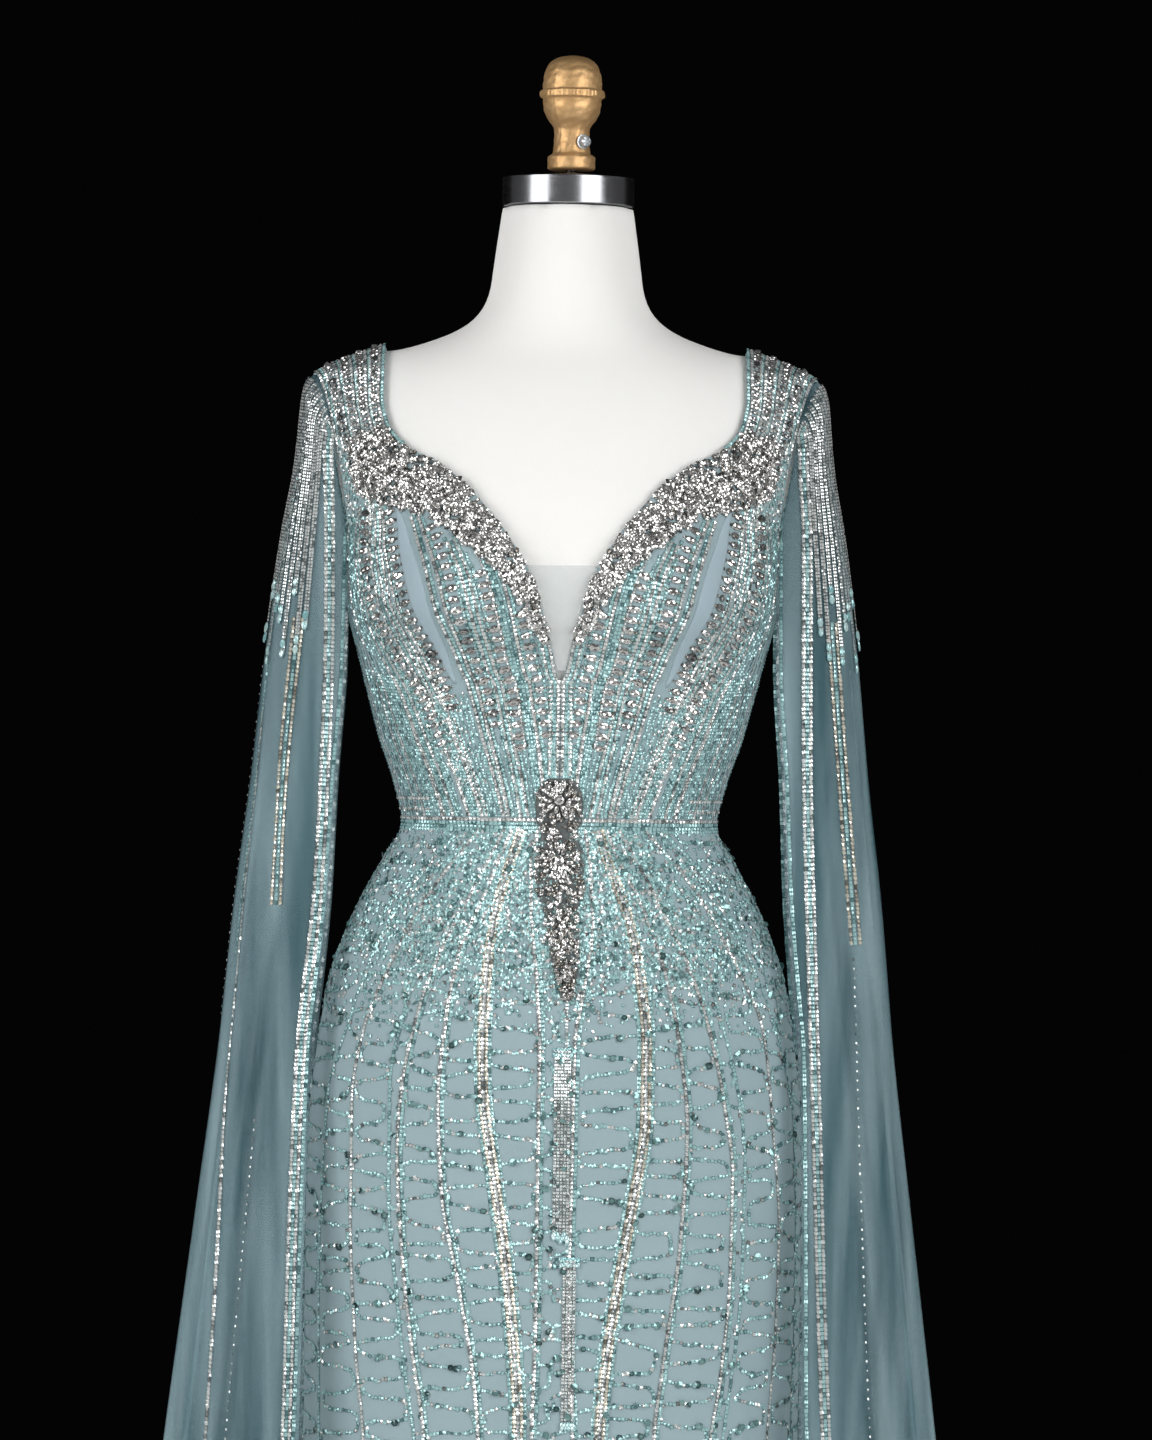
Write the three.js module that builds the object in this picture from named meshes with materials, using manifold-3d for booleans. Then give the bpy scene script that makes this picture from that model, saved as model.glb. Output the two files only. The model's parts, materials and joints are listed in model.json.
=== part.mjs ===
// A floor-length evening gown with long cape sleeves, worn by a limbless dress form on a plain stand.
// Millimetres, +Z up. The front faces -Y and the wearer's left side is +X. The origin is on the floor,
// under the middle of the stand.
//
// The body is a stack of rounded sections up to the chest, and above it each section line runs on over
// the shoulder ridge. The cloth is that body moved out by a named distance, as a wall of even thickness.

import * as THREE from "three";
import { mergeVertices } from "three/addons/utils/BufferGeometryUtils.js";
import Module from "manifold-3d";

const wasm = await Module();
wasm.setup();

// Driving dimensions

const SEAM = 0.3; // gap between neighbouring pieces
const QUARTER = Math.PI / 2;

const HEM = 8; // height of the skirt's lower edge
const WAIST = 1060;
const CHEST = 1290; // top of the level sections
const RIDGE = 1460; // distance along the body at which front and back meet on the shoulder

const SKIN = { inside: 1.4, outside: 3.0 }; // the gown's wall, out from the body
const NET = { inside: 1.5, outside: 2.6 }; // the illusion net in the neckline
const CAPE_WALL = 1.0;
const OVERLAY_GAP = 0.35; // clearance under what is sewn on a panel

// Half width and depths of the body and of the skirt that continues it, by height
const SECTIONS = [
  { z: 8, wide: 250, front: 186, back: 224 },
  { z: 120, wide: 218, front: 158, back: 186 },
  { z: 260, wide: 193, front: 130, back: 152 },
  { z: 420, wide: 183, front: 112, back: 131 },
  { z: 594, wide: 184, front: 104, back: 123 },
  { z: 740, wide: 184.5, front: 101, back: 121 },
  { z: 820, wide: 184, front: 102, back: 124 },
  { z: 860, wide: 181.5, front: 103, back: 124 },
  { z: 900, wide: 176.5, front: 102, back: 120 },
  { z: 943, wide: 169, front: 100, back: 111 },
  { z: 973, wide: 158.7, front: 98, back: 102 },
  { z: 1003, wide: 145.5, front: 95, back: 91 },
  { z: 1033, wide: 129, front: 90, back: 80 },
  { z: 1060, wide: 116, front: 86, back: 75 },
  { z: 1094, wide: 123.5, front: 88, back: 77 },
  { z: 1124, wide: 134, front: 91, back: 80 },
  { z: 1155, wide: 142.5, front: 94, back: 84 },
  { z: 1185, wide: 150.2, front: 98, back: 88 },
  { z: 1230, wide: 161, front: 103, back: 92 },
  { z: 1290, wide: 166, front: 104, back: 94 },
  { z: 1340, wide: 175, front: 104, back: 94 },
  { z: 1400, wide: 185, front: 104, back: 94 },
  { z: 1460, wide: 192, front: 104, back: 94 },
];
const ROUNDNESS = 2.3; // exponent of the section outline, 2 for an ellipse

const CUP = { angle: 0.62, z: 1228, rise: 25, spread: 0.42, above: 62, below: 40 };
const HEM_FOLDS = { count: 8, depth: 11, top: 430 };
const FLATNESS = 1.6; // how much wider than deep the body is, for spacing points round it

const SHOULDER = { peak: 1470, slope: 0.37, soften: 18, roundOff: 4, roundFrom: 168, bulge: 1.6 };

// Inner edge of the bodice front, as a distance from the centre line
const NECKLINE = [
  { h: 1060, x: 0 },
  { h: 1168, x: 0 },
  { h: 1172, x: 2.6 },
  { h: 1189, x: 6.5 },
  { h: 1215, x: 13.6 },
  { h: 1246, x: 24 },
  { h: 1274, x: 40 },
  { h: 1297, x: 58 },
  { h: 1318, x: 81 },
  { h: 1331, x: 103 },
  { h: 1341, x: 122 },
  { h: 1356, x: 132 },
  { h: 1380, x: 136.5 },
  { h: 1460, x: 137 },
];
const NET_BOTTOM = 1176;
const NET_TOP = 1254;

// Inner edge of the bodice back, a plain scoop
const BACK_NECKLINE = [
  { h: 1060, x: 0 },
  { h: 1300, x: 0 },
  { h: 1303, x: 30 },
  { h: 1312, x: 62 },
  { h: 1330, x: 92 },
  { h: 1360, x: 118 },
  { h: 1400, x: 132 },
  { h: 1460, x: 137 },
];

// Outer edge of the bodice, as an angle from the centre front: the side seam, then the armhole
const ARMHOLE = [
  { h: 1060, degrees: 90 },
  { h: 1266, degrees: 90 },
  { h: 1273, degrees: 84 },
  { h: 1290, degrees: 79.5 },
  { h: 1330, degrees: 77 },
  { h: 1370, degrees: 77.5 },
  { h: 1420, degrees: 79.5 },
  { h: 1460, degrees: 82 },
];

// The five rows of large stones on each front, as shares of the way from neckline to side
const STONE_ROWS = [
  { h: 1060, row1: 0.05, row2: 0.153, row3: 0.27, row4: 0.44, row5: 0.56 },
  { h: 1120, row1: 0.07, row2: 0.22, row3: 0.33, row4: 0.54, row5: 0.65 },
  { h: 1155, row1: 0.103, row2: 0.247, row3: 0.37, row4: 0.58, row5: 0.71 },
  { h: 1190, row1: 0.119, row2: 0.27, row3: 0.408, row4: 0.617, row5: 0.8 },
  { h: 1225, row1: 0.11, row2: 0.267, row3: 0.43, row4: 0.685, row5: 0.856 },
  { h: 1260, row1: 0.1, row2: 0.272, row3: 0.43, row4: 0.7, row5: 0.865 },
  { h: 1290, row1: 0.12, row2: 0.28, row3: 0.45, row4: 0.69, row5: 0.85 },
  { h: 1330, row1: 0.16, row2: 0.32, row3: 0.49, row4: 0.66, row5: 0.83 },
  { h: 1460, row1: 0.166, row2: 0.333, row3: 0.5, row4: 0.667, row5: 0.833 },
];
const STONE_SPANS = [
  { name: "row1", low: 1128, high: 1218 },
  { name: "row2", low: 1118, high: 1246 },
  { name: "row3", low: 1134, high: 1280 },
  { name: "row4", low: 1146, high: 1290 },
  { name: "row5", low: 1117, high: 1290 },
];
const STONE = { half: 3.2, high: 2.4, fade: 14 };

// Jewelled band along the neckline: its outer edge, measured from the centre line
const BAND = [
  { h: 1197, x: 13 },
  { h: 1208, x: 21 },
  { h: 1222, x: 30 },
  { h: 1236, x: 39 },
  { h: 1250, x: 51 },
  { h: 1265, x: 67 },
  { h: 1280, x: 86 },
  { h: 1292, x: 108 },
  { h: 1301, x: 142 },
  { h: 1312, x: 154 },
  { h: 1326, x: 157 },
  { h: 1340, x: 158 },
  { h: 1352, x: 154 },
];
const BAND_RELIEF = { hollow: 1.2, crest: 3.2 };

// Jewelled motif at the waist: middle and half width by height. Its lower end hangs a little aside.
const MOTIF = [
  { h: 930, middle: 8, half: 3 },
  { h: 944, middle: 7.4, half: 7 },
  { h: 958, middle: 6.4, half: 10 },
  { h: 972, middle: 5, half: 12 },
  { h: 986, middle: 3.6, half: 11 },
  { h: 1000, middle: 2.4, half: 14 },
  { h: 1014, middle: 1.4, half: 18.5 },
  { h: 1028, middle: 0.6, half: 18 },
  { h: 1042, middle: 0.2, half: 16.5 },
  { h: 1055, middle: 0, half: 13 },
  { h: 1064, middle: 0, half: 17 },
  { h: 1080, middle: 0, half: 17.5 },
  { h: 1096, middle: 0, half: 16.5 },
];
const MOTIF_RELIEF = { hollow: 1.8, crest: 4.0, columns: 6 };

// Cape sleeves: reach of their inner and outer edges, half depth and fold depth, by height
const CAPE = [
  { z: 45, inner: 246, outer: 350, deep: 128, fold: 12 },
  { z: 300, inner: 214, outer: 321, deep: 112, fold: 9 },
  { z: 594, inner: 191, outer: 286.5, deep: 94, fold: 6 },
  { z: 760, inner: 188, outer: 267.5, deep: 80, fold: 4 },
  { z: 890, inner: 185, outer: 253, deep: 66, fold: 2.8 },
  { z: 943, inner: 179.5, outer: 248.5, deep: 61, fold: 2.2 },
  { z: 1003, inner: 174, outer: 243, deep: 55, fold: 1.6 },
  { z: 1094, inner: 169.5, outer: 232.5, deep: 48, fold: 1 },
  { z: 1185, inner: 163.5, outer: 224, deep: 43.5, fold: 0.4 },
  { z: 1276, inner: 163, outer: 212, deep: 40, fold: 0.2 },
  { z: 1336, inner: 166, outer: 202, deep: 38, fold: 0 },
  { z: 1410, inner: 170, outer: 196, deep: 34, fold: 0 },
];
const CAPE_HEM = 45;
const CAPE_SEAM_GAP = 0.9; // clearance to the armhole's edge
const CAPE_TURN = (118 * Math.PI) / 180; // from the outer fold round to each free edge
const CAPE_FOLDS = 6;
const CAPE_LEAVE = 6; // drop over which the cape swings out from its seam
const CAPE_CLEAR = 2.5; // clearance to the bodice and the skirt

// Shoulder fringe: its strip lies along the cape's second and third rows, over the named columns
const FRINGE = { strands: 10, first: 0.165, last: 0.535, half: 1.15, high: 1.7 };
const FRINGE_STRIP = { firstColumn: 3, lastColumn: 11, topRow: 1, bottomRow: 2, thick: 1.5 };
const FRINGE_END = { row: 6, shortest: 0.62, longest: 1 }; // last row, and how far strands reach into it

const TASSELS = [
  { name: "tassel_upper", levels: [895, 888, 850, 800, 752], middle: 5.5 },
  { name: "tassel_lower", levels: [739, 732, 700, 656, 612], middle: 12.5 },
];
const TASSEL = { strands: 4, pitch: 3, half: 1.1, high: 1.6, headHalf: 6.2, headHigh: 2.2 };

// Dress form
const FORM_BOTTOM = 745;
const FORM_INSET = 1.7; // the form lies this far inside the body that the cloth follows
const FORM_TOP = 1457; // just short of the ridge, so that the shoulder closes over a sliver
const ARM_PLANE = { x: 158, z: 1280, slope: 0.16, relax: 0.5 }; // flat shoulder ends
const ARM_PLATE = { z: 1336, high: 46, deep: 26, thick: 6 };
const NECK = [
  { z: 1392, half: 84 },
  { z: 1420, half: 74 },
  { z: 1433, half: 68.5 },
  { z: 1446, half: 64 },
  { z: 1458, half: 60.5 },
  { z: 1480, half: 56.5 },
  { z: 1503, half: 53 },
  { z: 1528, half: 49.5 },
];
const NECK_SET = { y: 4, depth: 0.98 };
const CAP = { radius: 49.8, high: 22, edge: 1.2 };
const FINIAL_X = 2;
const ROD = { radius: 4.6, root: 3.9, pitch: 3.2, top: 1588 };

// Outline of the cast finial, bottom to top
const FINIAL = [
  { z: 1556, r: 16.8 },
  { z: 1557.5, r: 17.9 },
  { z: 1566, r: 17.9 },
  { z: 1568, r: 14.2 },
  { z: 1586, r: 13.4 },
  { z: 1594, r: 18 },
  { z: 1602, r: 21.4 },
  { z: 1611, r: 22.4 },
  { z: 1613, r: 24.8 },
  { z: 1616, r: 24.8 },
  { z: 1618, r: 22.6 },
  { z: 1629, r: 21.4 },
  { z: 1637, r: 17.6 },
  { z: 1641.5, r: 10.5 },
  { z: 1643, r: 0 },
];
const FINIAL_BORE = { radius: 5.4, top: 1596 };
const BOLT = { z: 1577, seat: 14.2, turn: 0.62, head: 4.6, headHigh: 4, collar: 5.6, collarHigh: 1.2 };

const POLE = { radius: 16 };
const BASE = { reach: 165, tip: 17, root: 30, high: 12, bevel: 1.5, hubRadius: 27, hub: 34 };

// Mesh resolution

const FORM_SEGMENTS = 36;
const FORM_ROWS = [
  745, 820, 880, 935, 975, 1010, 1035, 1060, 1085, 1115, 1150, 1185, 1205, 1220, 1236, 1254, 1280, 1303, 1330,
  1352, 1378, 1405, 1432,
];
const SKIRT_ROWS = [1045, 1030, 1010, 985, 960, 930, 895, 850, 800, 752, 700, 612, 520, 430, 330, 230, 120];
const SHOULDER_ROWS = [1335, 1352, 1378, 1405, 1432];
const FRONT_ROWS = [
  1078, 1105, 1140, 1168, 1189, 1205, 1220, 1236, 1254, 1266, 1273, 1290, 1303, 1318, ...SHOULDER_ROWS,
];
const BACK_ROWS = [
  1078, 1105, 1140, 1180, 1220, 1250, 1266, 1273, 1290, 1300, 1303, 1318, ...SHOULDER_ROWS,
];
const BACK_COLUMNS = 8;
const SKIRT_COLUMNS = { front: 20, back: 10 };
const CAPE_COLUMNS = 20;
const CAPE_ROWS = [0, 0.003, 0.008, 0.02, 0.05, 0.09, 0.15, 0.22, 0.3, 0.39, 0.49, 0.6, 0.73, 0.86, 1];

// Each cape is one length of tulle, held in stretches that part by a seam's width: first and last row
const CAPE_STRETCHES = [
  { name: "shoulder", from: 0, to: 7 },
  { name: "arm", from: 7, to: 10 },
  { name: "knee", from: 10, to: 12 },
  { name: "hem", from: 12, to: CAPE_ROWS.length - 1 },
];
const SHOULDER_INSET = 0.2; // how far front and back stop short of the ridge

// Numbers

const clamp01 = (t) => Math.min(1, Math.max(0, t));
const ease = (t) => clamp01(t) ** 2 * (3 - 2 * clamp01(t));
const mix = (a, b, t) => a + (b - a) * t;
const series = (count, at) => Array.from({ length: count }, (_, i) => at(i));
const evenly = (from, to, steps) => series(steps + 1, (i) => mix(from, to, i / steps));

// Smooth curve through a table's column that never overshoots its rows.
function along(table, key, column, at) {
  const x = table.map((row) => row[key]);
  const y = table.map((row) => row[column]);
  const last = x.length - 1;
  if (at <= x[0]) return y[0];
  if (at >= x[last]) return y[last];
  const grade = (i) => (y[i + 1] - y[i]) / (x[i + 1] - x[i]);
  const tangent = (i) => {
    if (i === 0) return grade(0);
    if (i === last) return grade(last - 1);
    const [before, after] = [grade(i - 1), grade(i)];
    return before * after <= 0 ? 0 : (2 * before * after) / (before + after);
  };
  const i = x.findIndex((value) => value > at) - 1;
  const step = x[i + 1] - x[i];
  const t = (at - x[i]) / step;
  return hermite(y[i], tangent(i) * step, y[i + 1], tangent(i + 1) * step, t);
}

function hermite(start, startSlope, end, endSlope, t) {
  const fall = 2 * t ** 3 - 3 * t ** 2 + 1;
  const lead = t ** 3 - 2 * t ** 2 + t;
  return start * fall + startSlope * lead + end * (1 - fall) + endSlope * (t ** 3 - t ** 2);
}

// The body's surface. theta is 0 at the centre front, a quarter turn at the wearer's left side.

// Equal steps of the even turn give points that lie closer together round the body's narrow sides.
const evenTurn = (theta) => Math.atan2(Math.sin(theta) / FLATNESS, Math.cos(theta));
const turnOf = (even) => Math.atan2(FLATNESS * Math.sin(even), Math.cos(even));
const turnsBetween = (from, to, steps) => evenly(evenTurn(from), evenTurn(to), steps).map(turnOf);

function sectionRadius(theta, z) {
  const wide = along(SECTIONS, "z", "wide", z);
  const deep = along(SECTIONS, "z", Math.cos(theta) > 0 ? "front" : "back", z);
  const outline =
    (Math.abs(Math.sin(theta)) / wide) ** ROUNDNESS + (Math.abs(Math.cos(theta)) / deep) ** ROUNDNESS;
  const cupHeight = (z - CUP.z) / (z > CUP.z ? CUP.above : CUP.below);
  const turn = Math.abs(Math.atan2(Math.sin(theta), Math.cos(theta)));
  const cup = CUP.rise * Math.exp(-(((turn - CUP.angle) / CUP.spread) ** 2) - cupHeight ** 2);
  const folding = ease((HEM_FOLDS.top - z) / (HEM_FOLDS.top - HEM)) * HEM_FOLDS.depth;
  return outline ** (-1 / ROUNDNESS) + cup + folding * Math.cos(HEM_FOLDS.count * evenTurn(theta));
}

function sectionPoint(theta, z) {
  const radius = sectionRadius(theta, z);
  return new THREE.Vector3(radius * Math.sin(theta), -radius * Math.cos(theta), z);
}

function ridgeHeight(x) {
  const out = Math.abs(x);
  const rounding = Math.max(0, (out - SHOULDER.roundFrom) / (SECTIONS.at(-1).wide - SHOULDER.roundFrom));
  const slope = SHOULDER.slope * Math.hypot(out, SHOULDER.soften);
  return SHOULDER.peak - slope - SHOULDER.roundOff * rounding ** 2;
}

// Point of the body: level sections up to the chest, then a curve over the shoulder ridge.
function bodyPoint(theta, h) {
  if (h <= CHEST) return sectionPoint(theta, h);
  const start = sectionPoint(theta, CHEST);
  const before = sectionPoint(theta, CHEST - 2);
  const span = RIDGE - CHEST;
  const t = (h - CHEST) / span;
  const x = (start.x * along(SECTIONS, "z", "wide", h)) / along(SECTIONS, "z", "wide", CHEST);
  const lean = ((start.y - before.y) / 2) * span;
  const y = hermite(start.y, lean, 0, -start.y * SHOULDER.bulge, t);
  const z = hermite(CHEST, span, ridgeHeight(x), 0, t);
  return new THREE.Vector3(x, y, z);
}

function normalAt(surface, u, v, du, dv) {
  const across = surface(u + du, v).sub(surface(u - du, v));
  const up = surface(u, v + dv).sub(surface(u, v - dv));
  return across.cross(up).normalize();
}

// Point of the body moved out along its normal.
function clothPoint(theta, h, out) {
  const level = Math.min(h, RIDGE - 1);
  return bodyPoint(theta, h).addScaledVector(normalAt(bodyPoint, theta, level, 1e-3, 0.5), out);
}

// Angle at which the body's line of height h has that x, in front or behind.
function angleAt(x, h, behind = false) {
  let [low, high] = [0, QUARTER];
  const place = (turn) => bodyPoint(behind ? Math.PI - turn : turn, h).x;
  for (let step = 0; step < 40; step++) {
    const middle = (low + high) / 2;
    if (place(middle) < x) low = middle;
    else high = middle;
  }
  return behind ? Math.PI - low : low;
}

const frontAngle = (x, h) => Math.sign(x) * angleAt(Math.abs(x), h);
const armholeAngle = (h) => (along(ARMHOLE, "h", "degrees", h) * Math.PI) / 180;
const necklineX = (h) => along(NECKLINE, "h", "x", h);
const mirrored = (point, side) => point.set(side * point.x, point.y, point.z);

// Solids

function geometryOf(points, triangles) {
  const geometry = new THREE.BufferGeometry();
  geometry.setAttribute("position", new THREE.Float32BufferAttribute(points.flatMap((p) => p.toArray()), 3));
  geometry.setIndex(triangles);
  return facingOut(geometry);
}

// Turns the faces round where the mesh encloses a negative volume.
function facingOut(geometry) {
  const at = geometry.getAttribute("position");
  const index = geometry.getIndex().array;
  const corner = (i) => new THREE.Vector3().fromBufferAttribute(at, index[i]);
  let volume = 0;
  for (let i = 0; i < index.length; i += 3) {
    volume += corner(i).dot(corner(i + 1).cross(corner(i + 2)));
  }
  if (volume < 0) {
    for (let i = 0; i < index.length; i += 3) [index[i], index[i + 1]] = [index[i + 1], index[i]];
  }
  return geometry;
}

// Closed wall between two grids of points with the same rows and columns.
function wall(outer, inner) {
  const [rows, columns] = [outer.length, outer[0].length];
  const id = (layer, i, j) => layer * rows * columns + i * columns + j;
  const triangles = [];
  const quad = (a, b, c, d) => triangles.push(a, b, c, a, c, d);
  for (let i = 0; i + 1 < rows; i++) {
    for (let j = 0; j + 1 < columns; j++) {
      quad(id(0, i, j), id(0, i, j + 1), id(0, i + 1, j + 1), id(0, i + 1, j));
      quad(id(1, i, j), id(1, i + 1, j), id(1, i + 1, j + 1), id(1, i, j + 1));
    }
    quad(id(0, i, 0), id(0, i + 1, 0), id(1, i + 1, 0), id(1, i, 0));
    const end = columns - 1;
    quad(id(0, i, end), id(1, i, end), id(1, i + 1, end), id(0, i + 1, end));
  }
  for (let j = 0; j + 1 < columns; j++) {
    quad(id(0, 0, j), id(1, 0, j), id(1, 0, j + 1), id(0, 0, j + 1));
    const top = rows - 1;
    quad(id(0, top, j), id(0, top, j + 1), id(1, top, j + 1), id(1, top, j));
  }
  return geometryOf([...outer.flat(), ...inner.flat()], triangles);
}

// Closed solid through rings of points, with a fan over each end.
function loft(rings, bottomCentre, topCentre) {
  const count = rings[0].length;
  const points = [...rings.flat(), bottomCentre, topCentre];
  const [bottom, top] = [points.length - 2, points.length - 1];
  const last = (rings.length - 1) * count;
  const triangles = [];
  for (let j = 0; j < count; j++) {
    const next = (j + 1) % count;
    for (let i = 0; i < last; i += count) {
      triangles.push(i + j, i + next, i + count + next, i + j, i + count + next, i + count + j);
    }
    triangles.push(bottom, next, j, top, last + j, last + next);
  }
  return geometryOf(points, triangles);
}

function solidOf(geometry) {
  const bare = geometry.index ? geometry.toNonIndexed() : geometry.clone();
  for (const name of Object.keys(bare.attributes)) if (name !== "position") bare.deleteAttribute(name);
  const merged = mergeVertices(bare, 1e-4);
  const mesh = new wasm.Mesh({
    numProp: 3,
    vertProperties: merged.attributes.position.array,
    triVerts: new Uint32Array(merged.index.array),
  });
  return new wasm.Manifold(mesh);
}

function geometryFrom(solid) {
  const { vertProperties, triVerts } = solid.getMesh();
  const geometry = new THREE.BufferGeometry();
  geometry.setAttribute("position", new THREE.BufferAttribute(new Float32Array(vertProperties), 3));
  geometry.setIndex(new THREE.BufferAttribute(new Uint32Array(triVerts), 1));
  return geometry;
}

const joined = (geometries) => geometryFrom(geometries.map(solidOf).reduce((all, one) => all.add(one)));

// Solid of revolution about +Z from an outline of radius and height that closes on the axis or itself.
function turned(outline, segments) {
  const points = outline.map(([radius, z]) => new THREE.Vector2(radius, z));
  return facingOutLathe(new THREE.LatheGeometry(points, segments).rotateX(QUARTER));
}

function facingOutLathe(geometry) {
  for (const name of ["normal", "uv"]) geometry.deleteAttribute(name);
  return facingOut(mergeVertices(geometry, 1e-4));
}

// Materials

const finish = (color, roughness, metalness = 0) =>
  new THREE.MeshStandardMaterial({ color, roughness, metalness, side: THREE.DoubleSide });
const MATERIALS = {
  cloth: finish(0x9fb8bc, 0.75),
  net: finish(0xd9dbd8, 0.9),
  tulle: finish(0x86a5aa, 0.85),
  crystal: finish(0xd6d4c8, 0.15, 0.6),
  beads: finish(0xa9cfcc, 0.3, 0.3),
  canvas: finish(0xf1f0ee, 0.9),
  steel: finish(0x9a9da3, 0.3, 1),
  brass: finish(0xb4936a, 0.6, 0.7),
  wood: finish(0x7d5f3c, 0.6),
  iron: finish(0x2e3033, 0.6, 0.5),
};

const garment = new THREE.Group();

function add(name, geometry, material) {
  const mesh = new THREE.Mesh(geometry, material);
  mesh.name = name;
  garment.add(mesh);
  return mesh;
}

// Bodice

// Points along one row of the front: three for each row of stones, then even steps round to the side.
function frontRow(h, row) {
  const inset = SEAM / 2;
  const edge = Math.max(necklineX(h), inset);
  const sideTurn = armholeAngle(h) - inset / sectionRadius(QUARTER, WAIST);
  const width = bodyPoint(sideTurn, h).x - edge;
  const shares = STONE_SPANS.map(({ name }) => along(STONE_ROWS, "h", name, h));
  const places = [{ x: edge, rise: 0 }];
  shares.forEach((share, k) => {
    const room = Math.min(share - (shares[k - 1] ?? 0), (shares[k + 1] ?? 1) - share) * width;
    const reach = Math.min(STONE.half, room * 0.32);
    const { low, high } = STONE_SPANS[k];
    const rise = STONE.high * ease((h - low) / STONE.fade) * ease((high - h) / STONE.fade);
    const crest = edge + share * width;
    places.push({ x: crest - reach, rise: 0 }, { x: crest, rise }, { x: crest + reach, rise: 0 });
  });
  const points = places.map(({ x, rise }, column) => ({
    theta: angleAt(x, h),
    rise: Math.max(rise, bandRise(x, h, row + column)),
  }));
  const rest = turnsBetween(points.at(-1).theta, sideTurn, 4).slice(1);
  return [...points, ...rest.map((theta) => ({ theta, rise: 0 }))];
}

// The jewelled band stands up from the cloth in crests and hollows by turns.
function bandRise(x, h, count) {
  const onBand = h > BAND[0].h && h < BAND.at(-1).h && x > necklineX(h) && x < along(BAND, "h", "x", h);
  if (!onBand) return 0;
  return count % 2 ? BAND_RELIEF.hollow : BAND_RELIEF.crest;
}

function bodiceFront(side) {
  const levels = [WAIST + SEAM / 2, ...FRONT_ROWS, RIDGE - SHOULDER_INSET];
  const rows = levels.map((h, row) => frontRow(h, row).map(({ theta, rise }) => ({ theta, h, rise })));
  const layer = (offset) =>
    rows.map((row) =>
      row.map((place) => mirrored(clothPoint(place.theta, place.h, offset(place.rise)), side)),
    );
  return wall(
    layer((rise) => SKIN.outside + rise),
    layer(() => SKIN.inside),
  );
}

function bodiceBack(side) {
  const levels = [WAIST + SEAM / 2, ...BACK_ROWS, RIDGE - SHOULDER_INSET];
  const layer = (out) =>
    levels.map((h) => {
      const inset = SEAM / 2;
      const sideTurn = Math.PI - armholeAngle(h) + inset / sectionRadius(QUARTER, WAIST);
      const edge = angleAt(Math.max(along(BACK_NECKLINE, "h", "x", h), inset), h, true);
      const turns = turnsBetween(sideTurn, edge, BACK_COLUMNS);
      return turns.map((theta) => mirrored(clothPoint(theta, h, out), side));
    });
  return wall(layer(SKIN.outside), layer(SKIN.inside));
}

// Illusion net between the neckline's edges, straight between the rows of the fronts as they are.
function neckInsert() {
  const levels = [NET_BOTTOM, ...FRONT_ROWS.filter((h) => h > NET_BOTTOM && h <= NET_TOP)];
  const layer = (out) =>
    levels.map((h) => {
      const reach = angleAt(edgeBetweenRows(h) - SEAM - 0.2, h);
      return evenly(-reach, reach, 6).map((theta) => clothPoint(theta, h, out));
    });
  return wall(layer(NET.outside), layer(NET.inside));
}

function edgeBetweenRows(h) {
  const next = FRONT_ROWS.findIndex((row) => row >= h);
  const [low, high] = [FRONT_ROWS[next - 1], FRONT_ROWS[next]];
  return mix(necklineX(low), necklineX(high), (h - low) / (high - low));
}

// Skirt

function skirtPanel(from, to, columns) {
  const levels = [WAIST - SEAM / 2, ...SKIRT_ROWS, HEM];
  const inset = SEAM / 2 / sectionRadius(QUARTER, WAIST);
  const turns = evenly(from, to, columns).map(turnOf);
  turns[0] += inset;
  turns[columns] -= inset;
  const layer = (out) => levels.map((h) => turns.map((theta) => clothPoint(theta, h, out)));
  return wall(layer(SKIN.outside), layer(SKIN.inside));
}

// Jewelled motif over the waist seam, down to its base height along its edges.
function waistMotif() {
  const levels = MOTIF.map((row) => row.h);
  const { hollow, crest, columns } = MOTIF_RELIEF;
  const height = (i, j) => {
    const atEdge = i === 0 || j === 0 || i === levels.length - 1 || j === columns;
    return atEdge || (i + j) % 2 ? hollow : crest;
  };
  const layer = (rise) =>
    levels.map((h, i) => {
      const middle = along(MOTIF, "h", "middle", h);
      const half = along(MOTIF, "h", "half", h);
      const turns = evenly(frontAngle(middle - half, h), frontAngle(middle + half, h), columns);
      return turns.map((theta, j) => clothPoint(theta, h, SKIN.outside + OVERLAY_GAP + rise(i, j)));
    });
  return wall(
    layer(height),
    layer(() => 0),
  );
}

// Cape sleeves. a runs from the front edge over the outer fold to the back edge, t from seam to hem.

// The seam runs straight between the bodice's own shoulder rows, a seam's width outside the armhole.
function capeSeam(a) {
  const rows = [...SHOULDER_ROWS, RIDGE - 0.01];
  const place = (1 - Math.abs(2 * a - 1)) * (rows.length - 1);
  const row = Math.min(Math.floor(place), rows.length - 2);
  const at = (h) => {
    const turn = armholeAngle(h) + CAPE_SEAM_GAP / sectionRadius(QUARTER, CHEST);
    return clothPoint(a > 0.5 ? Math.PI - turn : turn, h, (SKIN.inside + SKIN.outside) / 2);
  };
  return at(rows[row]).lerp(at(rows[row + 1]), place - row);
}

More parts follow.
